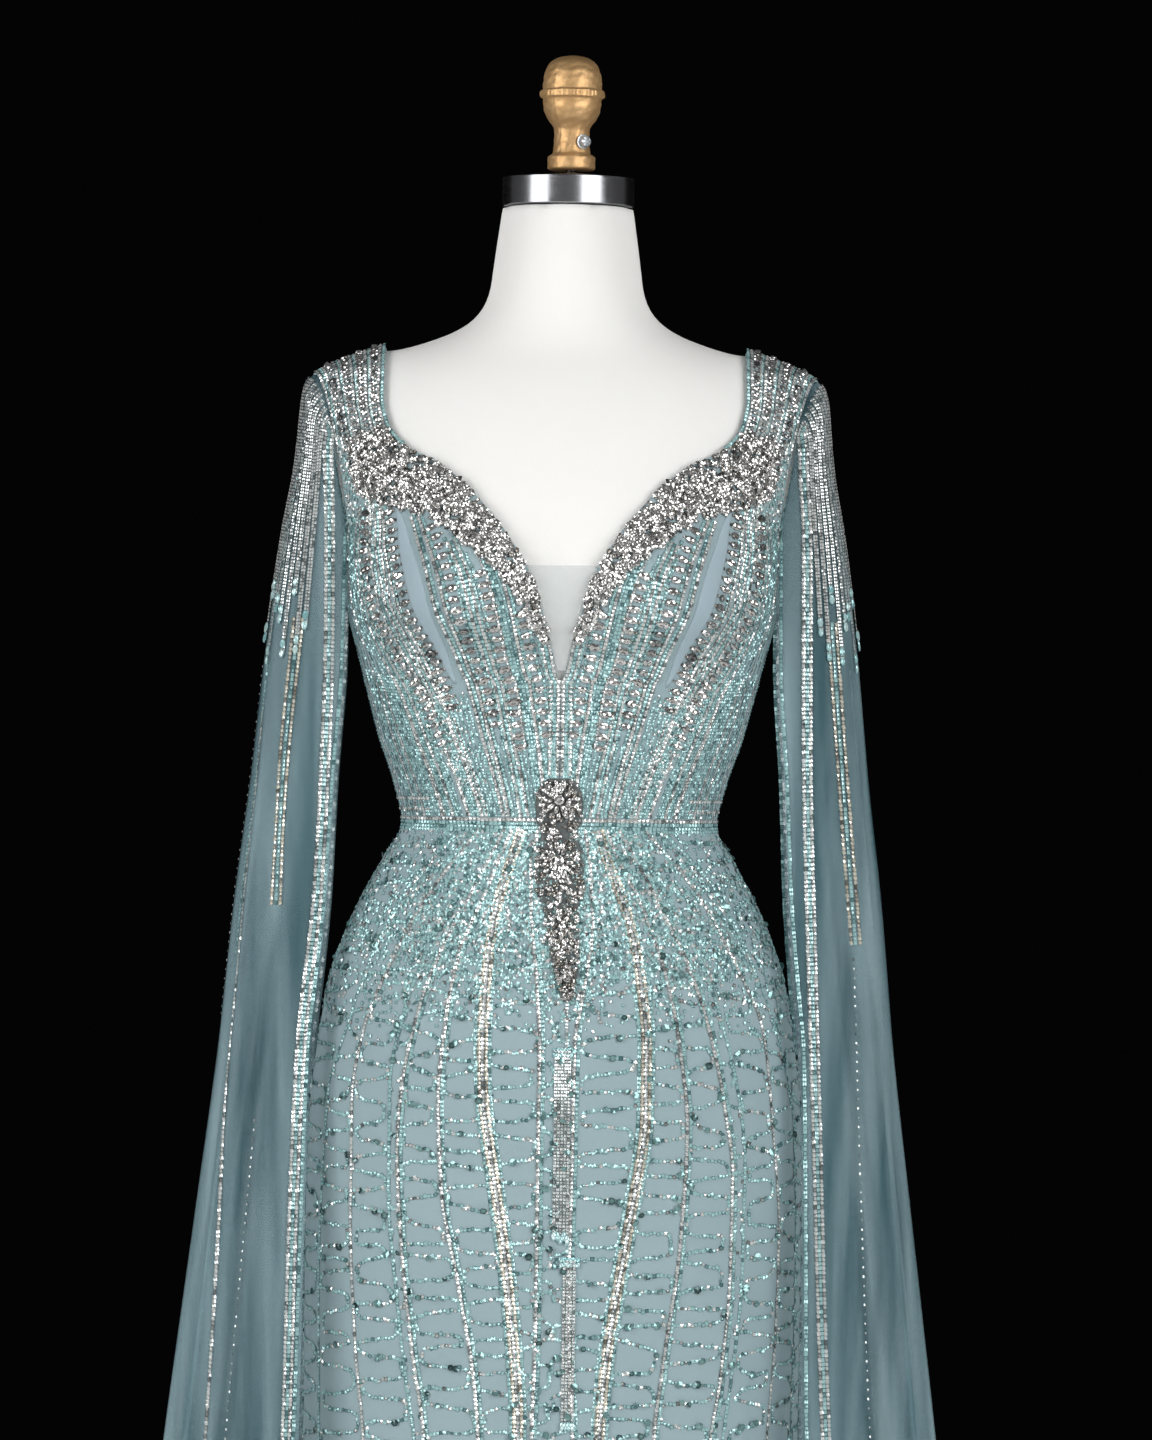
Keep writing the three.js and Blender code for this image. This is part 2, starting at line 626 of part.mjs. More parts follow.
function capePoint(side, a, t) {
  const seam = capeSeam(a);
  const z = mix(seam.z, CAPE_HEM, t);
  const inner = along(CAPE, "z", "inner", z);
  const outer = along(CAPE, "z", "outer", z);
  const turn = mix(-CAPE_TURN, CAPE_TURN, a);
  const half = (outer - inner) / (1 - Math.cos(CAPE_TURN));
  const fold = along(CAPE, "z", "fold", z) * Math.cos(2 * Math.PI * CAPE_FOLDS * a);
  const x = outer - half + (half + fold) * Math.cos(turn);
  const y = (along(CAPE, "z", "deep", z) + fold) * Math.sin(turn);
  const left = seam.z - z;
  const free = 1 - Math.exp(-left / CAPE_LEAVE);
  const hanging = clearOfGown(new THREE.Vector3(x, y, z));
  const point = new THREE.Vector3(mix(seam.x, hanging.x, free), mix(seam.y, hanging.y, free), z);
  return mirrored(point, side);
}

// Moves a point straight out from the middle line until it clears the gown.
function clearOfGown(point) {
  const theta = Math.atan2(point.x, -point.y);
  const level = Math.min(point.z, CHEST);
  const wide = (z) => along(SECTIONS, "z", "wide", z);
  const widening = wide(Math.max(point.z, CHEST)) / wide(CHEST);
  const least = sectionRadius(theta, level) * widening + SKIN.outside + CAPE_CLEAR;
  const radius = Math.hypot(point.x, point.y);
  const scale = Math.max(1, least / radius);
  return point.set(point.x * scale, point.y * scale, point.z);
}

// Point of the cape moved out along its own normal.
function capeCloth(side, a, t, out) {
  const inside = [Math.min(0.995, Math.max(0.005, a)), Math.min(0.999, Math.max(0.0004, t))];
  const surface = (u, v) => capePoint(side, u, v);
  const normal = normalAt(surface, ...inside, 2e-3, 2e-4).multiplyScalar(-side);
  return capePoint(side, a, t).addScaledVector(normal, out);
}

function capeStretch(side, { from, to }) {
  const across = evenly(0, 1, CAPE_COLUMNS);
  const rows = CAPE_ROWS.slice(from, to + 1);
  const inset = SEAM / 2 / (capeSeam(0.5).z - CAPE_HEM);
  if (from > 0) rows[0] += inset;
  if (to < CAPE_ROWS.length - 1) rows[rows.length - 1] -= inset;
  const layer = (out) => rows.map((t) => across.map((a) => capeCloth(side, a, t, out)));
  return wall(layer(CAPE_WALL / 2), layer(-CAPE_WALL / 2));
}

// Fringe and tassels

// Three-sided strand along a path, lying with its flat side on the cloth.
function strand(path, normals, half, high) {
  const rings = path.map((point, i) => {
    const ahead = path[Math.min(i + 1, path.length - 1)].clone().sub(path[Math.max(i - 1, 0)]);
    const across = ahead.cross(normals[i]).normalize();
    return [
      point.clone().addScaledVector(across, half),
      point.clone().addScaledVector(normals[i], high),
      point.clone().addScaledVector(across, -half),
    ];
  });
  return loft(rings, centreOf(rings[0]), centreOf(rings.at(-1)));
}

const centreOf = (points) =>
  points.reduce((sum, p) => sum.add(p), new THREE.Vector3()).multiplyScalar(1 / points.length);

// Point over the cape's own facets, at share a of its width and on one of its rows or between two.
function overCape(side, a, row, out) {
  const between = (value, last) => {
    const low = Math.min(Math.floor(value), last - 1);
    return { low, share: value - low };
  };
  const across = between(a * CAPE_COLUMNS, CAPE_COLUMNS);
  const down = between(row, CAPE_ROWS.length - 1);
  const at = (j, i) => capeCloth(side, j / CAPE_COLUMNS, CAPE_ROWS[i], out);
  const onRow = (i) => at(across.low, i).lerp(at(across.low + 1, i), across.share);
  return onRow(down.low).lerp(onRow(down.low + 1), down.share);
}

function shoulderFringe(side) {
  const lift = CAPE_WALL / 2 + OVERLAY_GAP;
  const { firstColumn, lastColumn, topRow, bottomRow, thick } = FRINGE_STRIP;
  const columns = series(lastColumn - firstColumn + 1, (i) => (firstColumn + i) / CAPE_COLUMNS);
  const stripRow = (row, out) => columns.map((a) => overCape(side, a, row, out));
  const stripLayer = (out) => [stripRow(topRow, out), stripRow(bottomRow, out)];
  const pieces = [wall(stripLayer(lift + thick), stripLayer(lift))];
  for (const [k, a] of evenly(FRINGE.first, FRINGE.last, FRINGE.strands - 1).entries()) {
    const reach = mix(FRINGE_END.shortest, FRINGE_END.longest, 0.5 + 0.5 * Math.sin(2.4 * k));
    const rows = [topRow + 0.3, ...series(FRINGE_END.row - bottomRow, (i) => bottomRow + i)];
    rows.push(FRINGE_END.row - 1 + reach);
    const path = rows.map((row) => overCape(side, a, row, lift + 0.25));
    const normals = rows.map((row, i) => overCape(side, a, row, lift + 1.25).sub(path[i]).normalize());
    pieces.push(strand(path, normals, FRINGE.half, FRINGE.high));
  }
  return joined(pieces);
}

function tassel({ levels, middle }) {
  const lift = SKIN.outside + OVERLAY_GAP;
  const [top, headBottom] = levels;
  const at = (x, h, out) => clothPoint(frontAngle(x, h), h, out);
  const across = evenly(middle - TASSEL.headHalf, middle + TASSEL.headHalf, TASSEL.strands);
  const headLayer = (out) => [top, headBottom].map((h) => across.map((x) => at(x, h, out)));
  const pieces = [wall(headLayer(lift + TASSEL.headHigh), headLayer(lift))];
  for (const k of series(TASSEL.strands, (i) => i)) {
    const x = middle + (k - (TASSEL.strands - 1) / 2) * TASSEL.pitch;
    const heights = [mix(top, headBottom, 0.4), ...levels.slice(2)];
    const path = heights.map((h) => at(x, h, lift + 0.2));
    const normals = heights.map((h, i) => at(x, h, lift + 1.2).sub(path[i]).normalize());
    pieces.push(strand(path, normals, TASSEL.half, TASSEL.high));
  }
  return joined(pieces);
}

// Dress form

function armPlaneX(z) {
  const above = Math.max(0, z - ARM_PLANE.z);
  const below = Math.max(0, ARM_PLANE.z - z);
  return ARM_PLANE.x + ARM_PLANE.slope * above + ARM_PLANE.relax * below;
}

function formBody() {
  const ring = (h) =>
    series(FORM_SEGMENTS, (i) => {
      const point = clothPoint(turnOf((2 * Math.PI * i) / FORM_SEGMENTS), h, -FORM_INSET);
      const limit = armPlaneX(point.z);
      return point.setX(Math.min(limit, Math.max(-limit, point.x)));
    });
  const torso = loft(
    [...FORM_ROWS, FORM_TOP].map(ring),
    new THREE.Vector3(0, 0, FORM_BOTTOM),
    new THREE.Vector3(0, 0, ridgeHeight(0) - FORM_INSET),
  );
  const neckRing = ({ z, half }) =>
    series(28, (i) => {
      const turn = (2 * Math.PI * i) / 28;
      return new THREE.Vector3(half * Math.sin(turn), NECK_SET.y - half * NECK_SET.depth * Math.cos(turn), z);
    });
  const neck = loft(
    NECK.map(neckRing),
    new THREE.Vector3(0, NECK_SET.y, NECK[0].z),
    new THREE.Vector3(0, NECK_SET.y, NECK.at(-1).z),
  );
  return joined([torso, neck]);
}

function neckCap() {
  const bottom = NECK.at(-1).z + SEAM;
  const { radius, high, edge } = CAP;
  const top = bottom + high;
  const outline = [
    [0, bottom],
    [radius - edge / 2, bottom],
    [radius, bottom + edge / 2],
    [radius, top - edge],
    [radius - edge, top],
    [0, top],
  ];
  return turned(outline, 36);
}

function threadedRod() {
  const bottom = NECK.at(-1).z + CAP.high + 2 * SEAM;
  const turns = Math.floor((FINIAL[0].z - bottom) / ROD.pitch) + 2;
  const thread = series(turns, (i) => [
    [ROD.radius, bottom + (i + 0.3) * ROD.pitch],
    [ROD.root, bottom + (i + 0.8) * ROD.pitch],
  ]).flat();
  return turned([[0, bottom], [ROD.root, bottom], ...thread, [ROD.root, ROD.top], [0, ROD.top]], 8);
}

// The cast finial is bored from below for the rod.
function finial() {
  const bore = [
    [0, FINIAL_BORE.top],
    [FINIAL_BORE.radius, FINIAL_BORE.top],
    [FINIAL_BORE.radius, FINIAL[0].z],
  ];
  return turned([...bore, ...FINIAL.map(({ z, r }) => [r, z])], 18);
}

// Hexagonal set screw with its collar, pointing out of the finial's neck.
function finialBolt() {
  const head = new THREE.CylinderGeometry(BOLT.head, BOLT.head, BOLT.headHigh, 6);
  const collar = new THREE.CylinderGeometry(BOLT.collar, BOLT.collar, BOLT.collarHigh, 18);
  head.translate(0, BOLT.seat + SEAM + BOLT.collarHigh + BOLT.headHigh / 2 - 0.05, 0);
  collar.translate(0, BOLT.seat + SEAM + BOLT.collarHigh / 2, 0);
  return joined([head, collar]).rotateZ(Math.PI + BOLT.turn);
}

// Oval plate on the form's flat shoulder end.
function armPlate(side) {
  const { high, deep, thick } = ARM_PLATE;
  const lean = Math.atan(ARM_PLANE.slope);
  const rings = [
    { out: 0.4, grow: 0.96 },
    { out: 0.4 + thick * 0.35, grow: 1 },
    { out: thick * 0.8, grow: 0.97 },
    { out: thick, grow: 0.86 },
  ].map(({ out, grow }) =>
    series(20, (i) => {
      const turn = (2 * Math.PI * i) / 20;
      const up = high * grow * Math.sin(turn);
      const x = armPlaneX(ARM_PLATE.z) + up * Math.sin(lean) + out * Math.cos(lean);
      const z = ARM_PLATE.z + up * Math.cos(lean) - out * Math.sin(lean);
      return new THREE.Vector3(side * x, deep * grow * Math.cos(turn), z);
    }),
  );
  return loft(rings, centreOf(rings[0]), centreOf(rings.at(-1)));
}

// Stand

function standPole() {
  const bottom = BASE.hub + SEAM;
  const high = FORM_BOTTOM - SEAM - bottom;
  return new THREE.CylinderGeometry(POLE.radius, POLE.radius, high, 20)
    .rotateX(QUARTER)
    .translate(0, 0, bottom + high / 2);
}

// Four flat arms that taper from the hub to their tips.
function standBase() {
  const { reach, tip, root, high, bevel, hubRadius, hub } = BASE;
  const arm = [
    [root, root],
    [reach, tip],
    [reach, -tip],
  ];
  const corners = series(4, (i) => {
    const turn = -i * QUARTER;
    return arm.map(([x, y]) => new THREE.Vector2(x, y).rotateAround(new THREE.Vector2(), turn));
  });
  const cross = new THREE.Shape(corners.flat());
  const arms = new THREE.ExtrudeGeometry(cross, {
    depth: high - 2 * bevel,
    bevelThickness: bevel,
    bevelSize: bevel,
    bevelSegments: 1,
  });
  const post = new THREE.CylinderGeometry(hubRadius, hubRadius, hub - high / 2, 24);
  return joined([
    arms.translate(0, 0, bevel),
    post.rotateX(QUARTER).translate(0, 0, (hub + high / 2) / 2),
  ]);
}

// Assembly

const SIDES = [
  { name: "left", side: 1 },
  { name: "right", side: -1 },
];

add("stand_base", standBase(), MATERIALS.iron);
add("stand_pole", standPole(), MATERIALS.steel);
add("form_body", formBody(), MATERIALS.canvas);
add("neck_cap", neckCap(), MATERIALS.steel).position.set(0, NECK_SET.y, 0);
add("neck_rod", threadedRod(), MATERIALS.steel).position.set(FINIAL_X, NECK_SET.y, 0);
add("finial", finial(), MATERIALS.brass).position.set(FINIAL_X, NECK_SET.y, 0);
add("finial_bolt", finialBolt(), MATERIALS.steel).position.set(FINIAL_X, NECK_SET.y, BOLT.z);

for (const { name, side } of SIDES) {
  add(`arm_plate_${name}`, armPlate(side), MATERIALS.wood);
  add(`bodice_front_${name}`, bodiceFront(side), MATERIALS.cloth);
  add(`bodice_back_${name}`, bodiceBack(side), MATERIALS.cloth);
  for (const stretch of CAPE_STRETCHES) {
    add(`cape_sleeve_${name}_${stretch.name}`, capeStretch(side, stretch), MATERIALS.tulle);
  }
  add(`shoulder_fringe_${name}`, shoulderFringe(side), MATERIALS.beads);
}

add("neck_insert", neckInsert(), MATERIALS.net);
add("skirt_front", skirtPanel(-QUARTER, QUARTER, SKIRT_COLUMNS.front), MATERIALS.cloth);
add("skirt_back_left", skirtPanel(QUARTER, Math.PI, SKIRT_COLUMNS.back), MATERIALS.cloth);
add("skirt_back_right", skirtPanel(Math.PI, 3 * QUARTER, SKIRT_COLUMNS.back), MATERIALS.cloth);
add("waist_motif", waistMotif(), MATERIALS.crystal);
for (const row of TASSELS) add(row.name, tassel(row), MATERIALS.beads);

export default garment;
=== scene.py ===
"""Beaded evening gown with tulle cape sleeves on a limbless dress form and its stand.

Sizes are in millimetres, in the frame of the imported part: Z up, front towards -Y, the wearer's
left towards +X, the origin on the floor under the stand. Meshes are scaled to metres when made.
"""

import json
import logging
import math
from dataclasses import dataclass, field
from enum import Enum

import bpy
import numpy as np
from mathutils import Matrix
from numpy.typing import NDArray

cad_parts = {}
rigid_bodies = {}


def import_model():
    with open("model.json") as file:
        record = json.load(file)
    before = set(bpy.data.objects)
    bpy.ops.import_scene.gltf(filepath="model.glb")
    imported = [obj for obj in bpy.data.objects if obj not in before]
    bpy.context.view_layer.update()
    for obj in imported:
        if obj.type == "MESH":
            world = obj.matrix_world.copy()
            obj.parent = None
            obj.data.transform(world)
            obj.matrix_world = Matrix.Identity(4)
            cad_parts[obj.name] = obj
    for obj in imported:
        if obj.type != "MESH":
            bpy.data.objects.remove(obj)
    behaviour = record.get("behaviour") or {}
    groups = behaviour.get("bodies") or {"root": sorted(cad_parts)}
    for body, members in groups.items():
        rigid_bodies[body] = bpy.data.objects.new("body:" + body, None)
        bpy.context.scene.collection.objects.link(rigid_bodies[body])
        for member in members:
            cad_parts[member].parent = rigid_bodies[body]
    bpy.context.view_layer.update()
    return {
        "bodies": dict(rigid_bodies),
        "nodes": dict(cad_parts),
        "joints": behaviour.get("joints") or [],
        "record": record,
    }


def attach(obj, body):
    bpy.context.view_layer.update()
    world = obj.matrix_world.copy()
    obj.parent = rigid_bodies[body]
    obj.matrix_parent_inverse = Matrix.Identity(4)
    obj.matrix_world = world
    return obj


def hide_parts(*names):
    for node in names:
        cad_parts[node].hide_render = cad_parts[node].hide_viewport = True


log = logging.getLogger("gown")

Array = NDArray[np.float64]
Ints = NDArray[np.int64]
MM = 0.001
QUARTER = math.pi / 2


# Curves and grids


class Curve:
    """A smooth curve through the points of a table, which never swings past them."""

    def __init__(self, *points: tuple[float, float]) -> None:
        """Works out the slope at each point: the harmonic mean of the grades beside it.

        Args:
            points: pairs of a place and the value there, in rising order of place.
        """
        table = np.array(points, float)
        self.places, self.values = table[:, 0], table[:, 1]
        self.steps = np.diff(self.places)
        grades = np.diff(self.values) / self.steps
        before, after = grades[:-1], grades[1:]
        same_way = before * after > 0
        total = np.where(same_way, before + after, 1.0)
        inner = np.where(same_way, 2 * before * after / total, 0.0)
        self.slopes = np.concatenate([grades[:1], inner, grades[-1:]])

    def __call__(self, at: Array | float) -> Array:
        """Value of the curve, held level beyond its ends.

        Args:
            at: places along the curve.

        Returns:
            The cubic between the two nearest points of the table.
        """
        at = np.clip(at, self.places[0], self.places[-1])
        i = np.clip(np.searchsorted(self.places, at, side="right") - 1, 0, len(self.steps) - 1)
        step = self.steps[i]
        start, end = self.values[i], self.values[i + 1]
        return hermite(
            start, self.slopes[i] * step, end, self.slopes[i + 1] * step, (at - self.places[i]) / step)


def hermite(start: Array, start_slope: Array, end: Array, end_slope: Array, t: Array) -> Array:
    """Cubic from start to end with the given slopes.

    Args:
        start: value where t is 0.
        start_slope: slope there.
        end: value where t is 1.
        end_slope: slope there.
        t: share of the way.

    Returns:
        Start and end mixed by 2t^3 - 3t^2 + 1, with the slopes' own cubics added.
    """
    fall = 2 * t**3 - 3 * t**2 + 1
    lead = t**3 - 2 * t**2 + t
    return start * fall + start_slope * lead + end * (1 - fall) + end_slope * (t**3 - t**2)


def ease(t: Array) -> Array:
    """Soft step from 0 to 1: 3t^2 - 2t^3 of t held between 0 and 1."""
    t = np.clip(t, 0, 1)
    return t * t * (3 - 2 * t)


def mix(a: Array | float, b: Array | float, t: Array | float) -> Array:
    """Straight mix of a and b, a where t is 0."""
    return a + (b - a) * t


def unit(vectors: Array) -> Array:
    """The vectors at length 1."""
    return vectors / np.maximum(np.linalg.norm(vectors, axis=-1, keepdims=True), 1e-12)


def square_to(ways: Array, line: Array) -> Array:
    """The ways without their part along the line, at length 1."""
    return unit(ways - line * (ways * line).sum(-1, keepdims=True))


def stacked(x: Array, y: Array, z: Array) -> Array:
    """Points with those coordinates."""
    return np.stack(np.broadcast_arrays(x, y, z), axis=-1)


def even_turn(theta: Array) -> Array:
    """Turn whose equal steps lie closer together round the body's narrow sides."""
    return np.arctan2(np.sin(theta) / 1.6, np.cos(theta))


def turn_of(even: Array) -> Array:
    """Angle round the body that belongs to an even turn."""
    return np.arctan2(1.6 * np.sin(even), np.cos(even))


# Meshes


@dataclass
class Shape:
    """Points and faces of one closed piece, in millimetres."""

    points: Array
    quads: Ints = field(default_factory=lambda: np.zeros((0, 4), int))
    tris: Ints = field(default_factory=lambda: np.zeros((0, 3), int))

    def joined(self, other: "Shape") -> "Shape":
        """This shape with another one added to the same mesh.

        Args:
            other: the shape to add.

        Returns:
            One shape with the points and faces of both.
        """
        shift = len(self.points)
        return Shape(
            np.vstack([self.points, other.points]),
            np.vstack([self.quads, other.quads + shift]),
            np.vstack([self.tris, other.tris + shift]),
        )

    def piece(
        self, name: str, *finishes: "Finish", smooth: bool = True, crease: float = 180) -> bpy.types.Object:
        """Makes the Blender object.

        Args:
            name: name of the object.
            finishes: its finishes, the first one on every face.
            smooth: whether its faces are shaded smooth.
            crease: angle in degrees past which an edge stays sharp.

        Returns:
            The object, at the origin, linked to the scene.
        """
        mesh = bpy.data.meshes.new(name)
        loops = np.concatenate([self.quads.ravel(), self.tris.ravel()])
        sizes = np.concatenate([np.full(len(self.quads), 4), np.full(len(self.tris), 3)])
        starts = np.concatenate([[0], np.cumsum(sizes)[:-1]])
        mesh.vertices.add(len(self.points))
        mesh.vertices.foreach_set("co", (self.points * MM).astype(np.float32).ravel())
        mesh.loops.add(len(loops))
        mesh.loops.foreach_set("vertex_index", loops.astype(np.int32))
        mesh.polygons.add(len(sizes))
        mesh.polygons.foreach_set("loop_start", starts.astype(np.int32))
        mesh.polygons.foreach_set("use_smooth", np.full(len(sizes), smooth))
        mesh.update(calc_edges=True)
        mesh.validate()
        if smooth and crease < 180:
            mesh.set_sharp_from_angle(angle=math.radians(crease))
        piece = bpy.data.objects.new(name, mesh)
        bpy.context.scene.collection.objects.link(piece)
        for finish in finishes:
            mesh.materials.append(finish.material())
        return piece


def grid_quads(rows: int, columns: int, closed: bool = False) -> Ints:
    """Faces of a grid of points.

    Args:
        rows: rows of points.
        columns: points in a row.
        closed: whether each row's last point joins its first.

    Returns:
        The four corners of each face, row by row.
    """
    index = np.arange(rows * columns).reshape(rows, columns)
    if closed:
        index = np.hstack([index, index[:, :1]])
    low, high = index[:-1], index[1:]
    return np.stack([low[:, :-1], low[:, 1:], high[:, 1:], high[:, :-1]], axis=-1).reshape(-1, 4)


def shell(outer: Array, inner: Array) -> Shape:
    """Closed wall between two grids of the same size, with a rim along all four edges.

    Args:
        outer: points of the outer face, rows by columns by 3.
        inner: points of the inner face.

    Returns:
        The wall, its faces outwards where rows rise and columns run to the wearer's left.
    """
    rows, columns = outer.shape[:2]
    count = rows * columns
    front = grid_quads(rows, columns)
    back = front[:, ::-1] + count
    index = np.arange(count).reshape(rows, columns)
    edge = np.concatenate([index[0], index[1:, -1], index[-1, -2::-1], index[-2:0:-1, 0]])
    ahead = np.roll(edge, -1)
    rim = np.stack([edge + count, ahead + count, ahead, edge], axis=-1)
    points = np.vstack([outer.reshape(-1, 3), inner.reshape(-1, 3)])
    return Shape(points, np.vstack([front, back, rim]))


def sided_shell(outer: Array, inner: Array, side: int) -> Shape:
    """Closed wall between two grids of the wearer's left, mirrored where side is -1."""
    return shell(*(grid[:, ::side] * (side, 1, 1) for grid in (outer, inner)))


def tube(rings: Array) -> Shape:
    """Closed body through rings of points, its ends closed round their middles.

    Args:
        rings: points by ring, anticlockwise seen from the last ring's side.

    Returns:
        The body, its faces outwards.
    """
    count, around = rings.shape[:2]
    points = np.vstack([rings.reshape(-1, 3), rings[0].mean(0), rings[-1].mean(0)])
    start = np.arange(around)
    ahead = np.roll(start, -1)
    bottom = np.stack([ahead, start, np.full(around, count * around)], axis=-1)
    top = np.stack([start, ahead, np.full(around, count * around + 1)], axis=-1)
    top[:, :2] += (count - 1) * around
    return Shape(points, grid_quads(count, around, closed=True), np.vstack([bottom, top]))


def lathe(outline: list[tuple[float, float]], segments: int, centre: tuple[float, float] = (0, 0)) -> Shape:
    """Body turned round an upright line.

    Args:
        outline: radius and height of each ring, from the bottom up.
        segments: points in each ring.
        centre: place of the line in plan.

    Returns:
        The closed body.
    """
    radius, height = np.array(outline, float).T
    turn = np.linspace(0, 2 * math.pi, segments, endpoint=False)
    x = centre[0] + radius[:, None] * np.cos(turn)
    y = centre[1] + radius[:, None] * np.sin(turn)
    return tube(stacked(x, y, height[:, None]))


# Finishes


def tone(red: int, green: int, blue: int) -> tuple[float, float, float, float]:
    """Linear colour of an sRGB colour given from 0 to 255."""
    parts = [value / 255 for value in (red, green, blue)]
    linear = [part / 12.92 if part <= 0.04045 else ((part + 0.055) / 1.055) ** 2.4 for part in parts]
    return (*linear, 1.0)


class Variation(Enum):
    """What a finish's colour varies with."""

    PATCHES = "soft patches over the surface"
    TINT = "a number that each bead carries"


@dataclass(frozen=True)
class Finish:
    """A finish: two colours that it varies between, its gloss and its grain."""

    name: str
    colour: tuple[float, float, float, float]
    second: tuple[float, float, float, float]
    roughness: float = 0.6
    metallic: float = 0.0
    variation: Variation = Variation.PATCHES
    patch: float = 12.0
    patch_stretch: tuple[float, float, float] = (1, 1, 1)
    grain: float = 0.0
    grain_depth: float = 0.0
    stretch: tuple[float, float, float] = (1, 1, 1)
    sheen: float = 0.0
    alpha: float = 1.0
    coat: float = 0.0
    anisotropic: float = 0.0
    specular: float = 0.5
    # dark is the ramp's low end: the painted shade on bead rims and the colour of the darkest beads.
    dark: tuple[float, float, float, float] | None = None
    edge: float = 0.0

    def material(self) -> bpy.types.Material:
        """The Blender material, made once and then shared.

        Returns:
            A Principled surface whose colour mixes by noise or by the beads' own tint, which
            carries painted shade on their rims, with a fine noise as grain in its bump and roughness.
        """
        made = bpy.data.materials.get(self.name)
        if made:
            return made
        made = bpy.data.materials.new(self.name)
        made.use_nodes = True
        nodes, links = made.node_tree.nodes, made.node_tree.links
        shader = nodes["Principled BSDF"]
        for socket, value in {
            "Roughness": self.roughness,
            "Metallic": self.metallic,
            "Sheen Weight": self.sheen,
            "Sheen Roughness": 0.45,
            "Alpha": self.alpha,
            "Coat Weight": self.coat,
            "Coat Roughness": 0.06,
            "Anisotropic": self.anisotropic,
            "Specular IOR Level": self.specular,
        }.items():
            shader.inputs[socket].default_value = value
        place = nodes.new("ShaderNodeTexCoord").outputs["Object"]
        if self.variation is Variation.TINT:
            tint = nodes.new("ShaderNodeAttribute")
            tint.attribute_name = "tint"
            share = tint.outputs["Fac"]
        else:
            share = self._noise(nodes, links, place, self.patch, self.patch_stretch, 3.0)
        ramp = nodes.new("ShaderNodeValToRGB")
        colours = ramp.color_ramp
        colours.elements[0].color = self.colour
        colours.elements[1].color = self.second
        colours.elements[0].position, colours.elements[1].position = self.edge, 1 - self.edge
        # The dark stop is painted shade where the bead rims' tint is cut low, and the colour of the darkest beads.
        if self.dark:
            colours.elements[0].color = self.dark
            colours.elements.new(0.22).color = self.colour
            colours.elements.new(0.72).color = self.colour
        links.new(share, ramp.inputs["Fac"])
        links.new(ramp.outputs["Color"], shader.inputs["Base Color"])
        if self.grain:
            fine = self._noise(nodes, links, place, self.grain, self.stretch, 2.0)
            bump = nodes.new("ShaderNodeBump")
            bump.inputs["Strength"].default_value = 0.6
            bump.inputs["Distance"].default_value = self.grain_depth * MM
            links.new(fine, bump.inputs["Height"])
            links.new(bump.outputs["Normal"], shader.inputs["Normal"])
            rough = nodes.new("ShaderNodeMapRange")
            rough.inputs["To Min"].default_value = max(0.04, self.roughness - 0.12)
            rough.inputs["To Max"].default_value = min(1.0, self.roughness + 0.12)
            links.new(fine, rough.inputs["Value"])
            links.new(rough.outputs["Result"], shader.inputs["Roughness"])
        return made

    @staticmethod
    def _noise(
        nodes: bpy.types.Nodes,
        links: bpy.types.NodeLinks,
        place: bpy.types.NodeSocket,
        scale: float,
        stretch: tuple[float, float, float],
        detail: float,
    ) -> bpy.types.NodeSocket:
        """Noise read at the object's own coordinates.

        Args:
            nodes: the material's nodes.
            links: the material's links.
            place: socket with the coordinates.
            scale: how many patches to a metre.
            stretch: how much finer it is along each axis.
            detail: how rough the noise is.

        Returns:
            The socket with the noise from 0 to 1.
        """
        mapping = nodes.new("ShaderNodeMapping")
        mapping.inputs["Scale"].default_value = stretch
        noise = nodes.new("ShaderNodeTexNoise")
        noise.inputs["Scale"].default_value = scale
        noise.inputs["Detail"].default_value = detail
        links.new(place, mapping.inputs["Vector"])
        links.new(mapping.outputs["Vector"], noise.inputs["Vector"])
        return noise.outputs["Fac"]


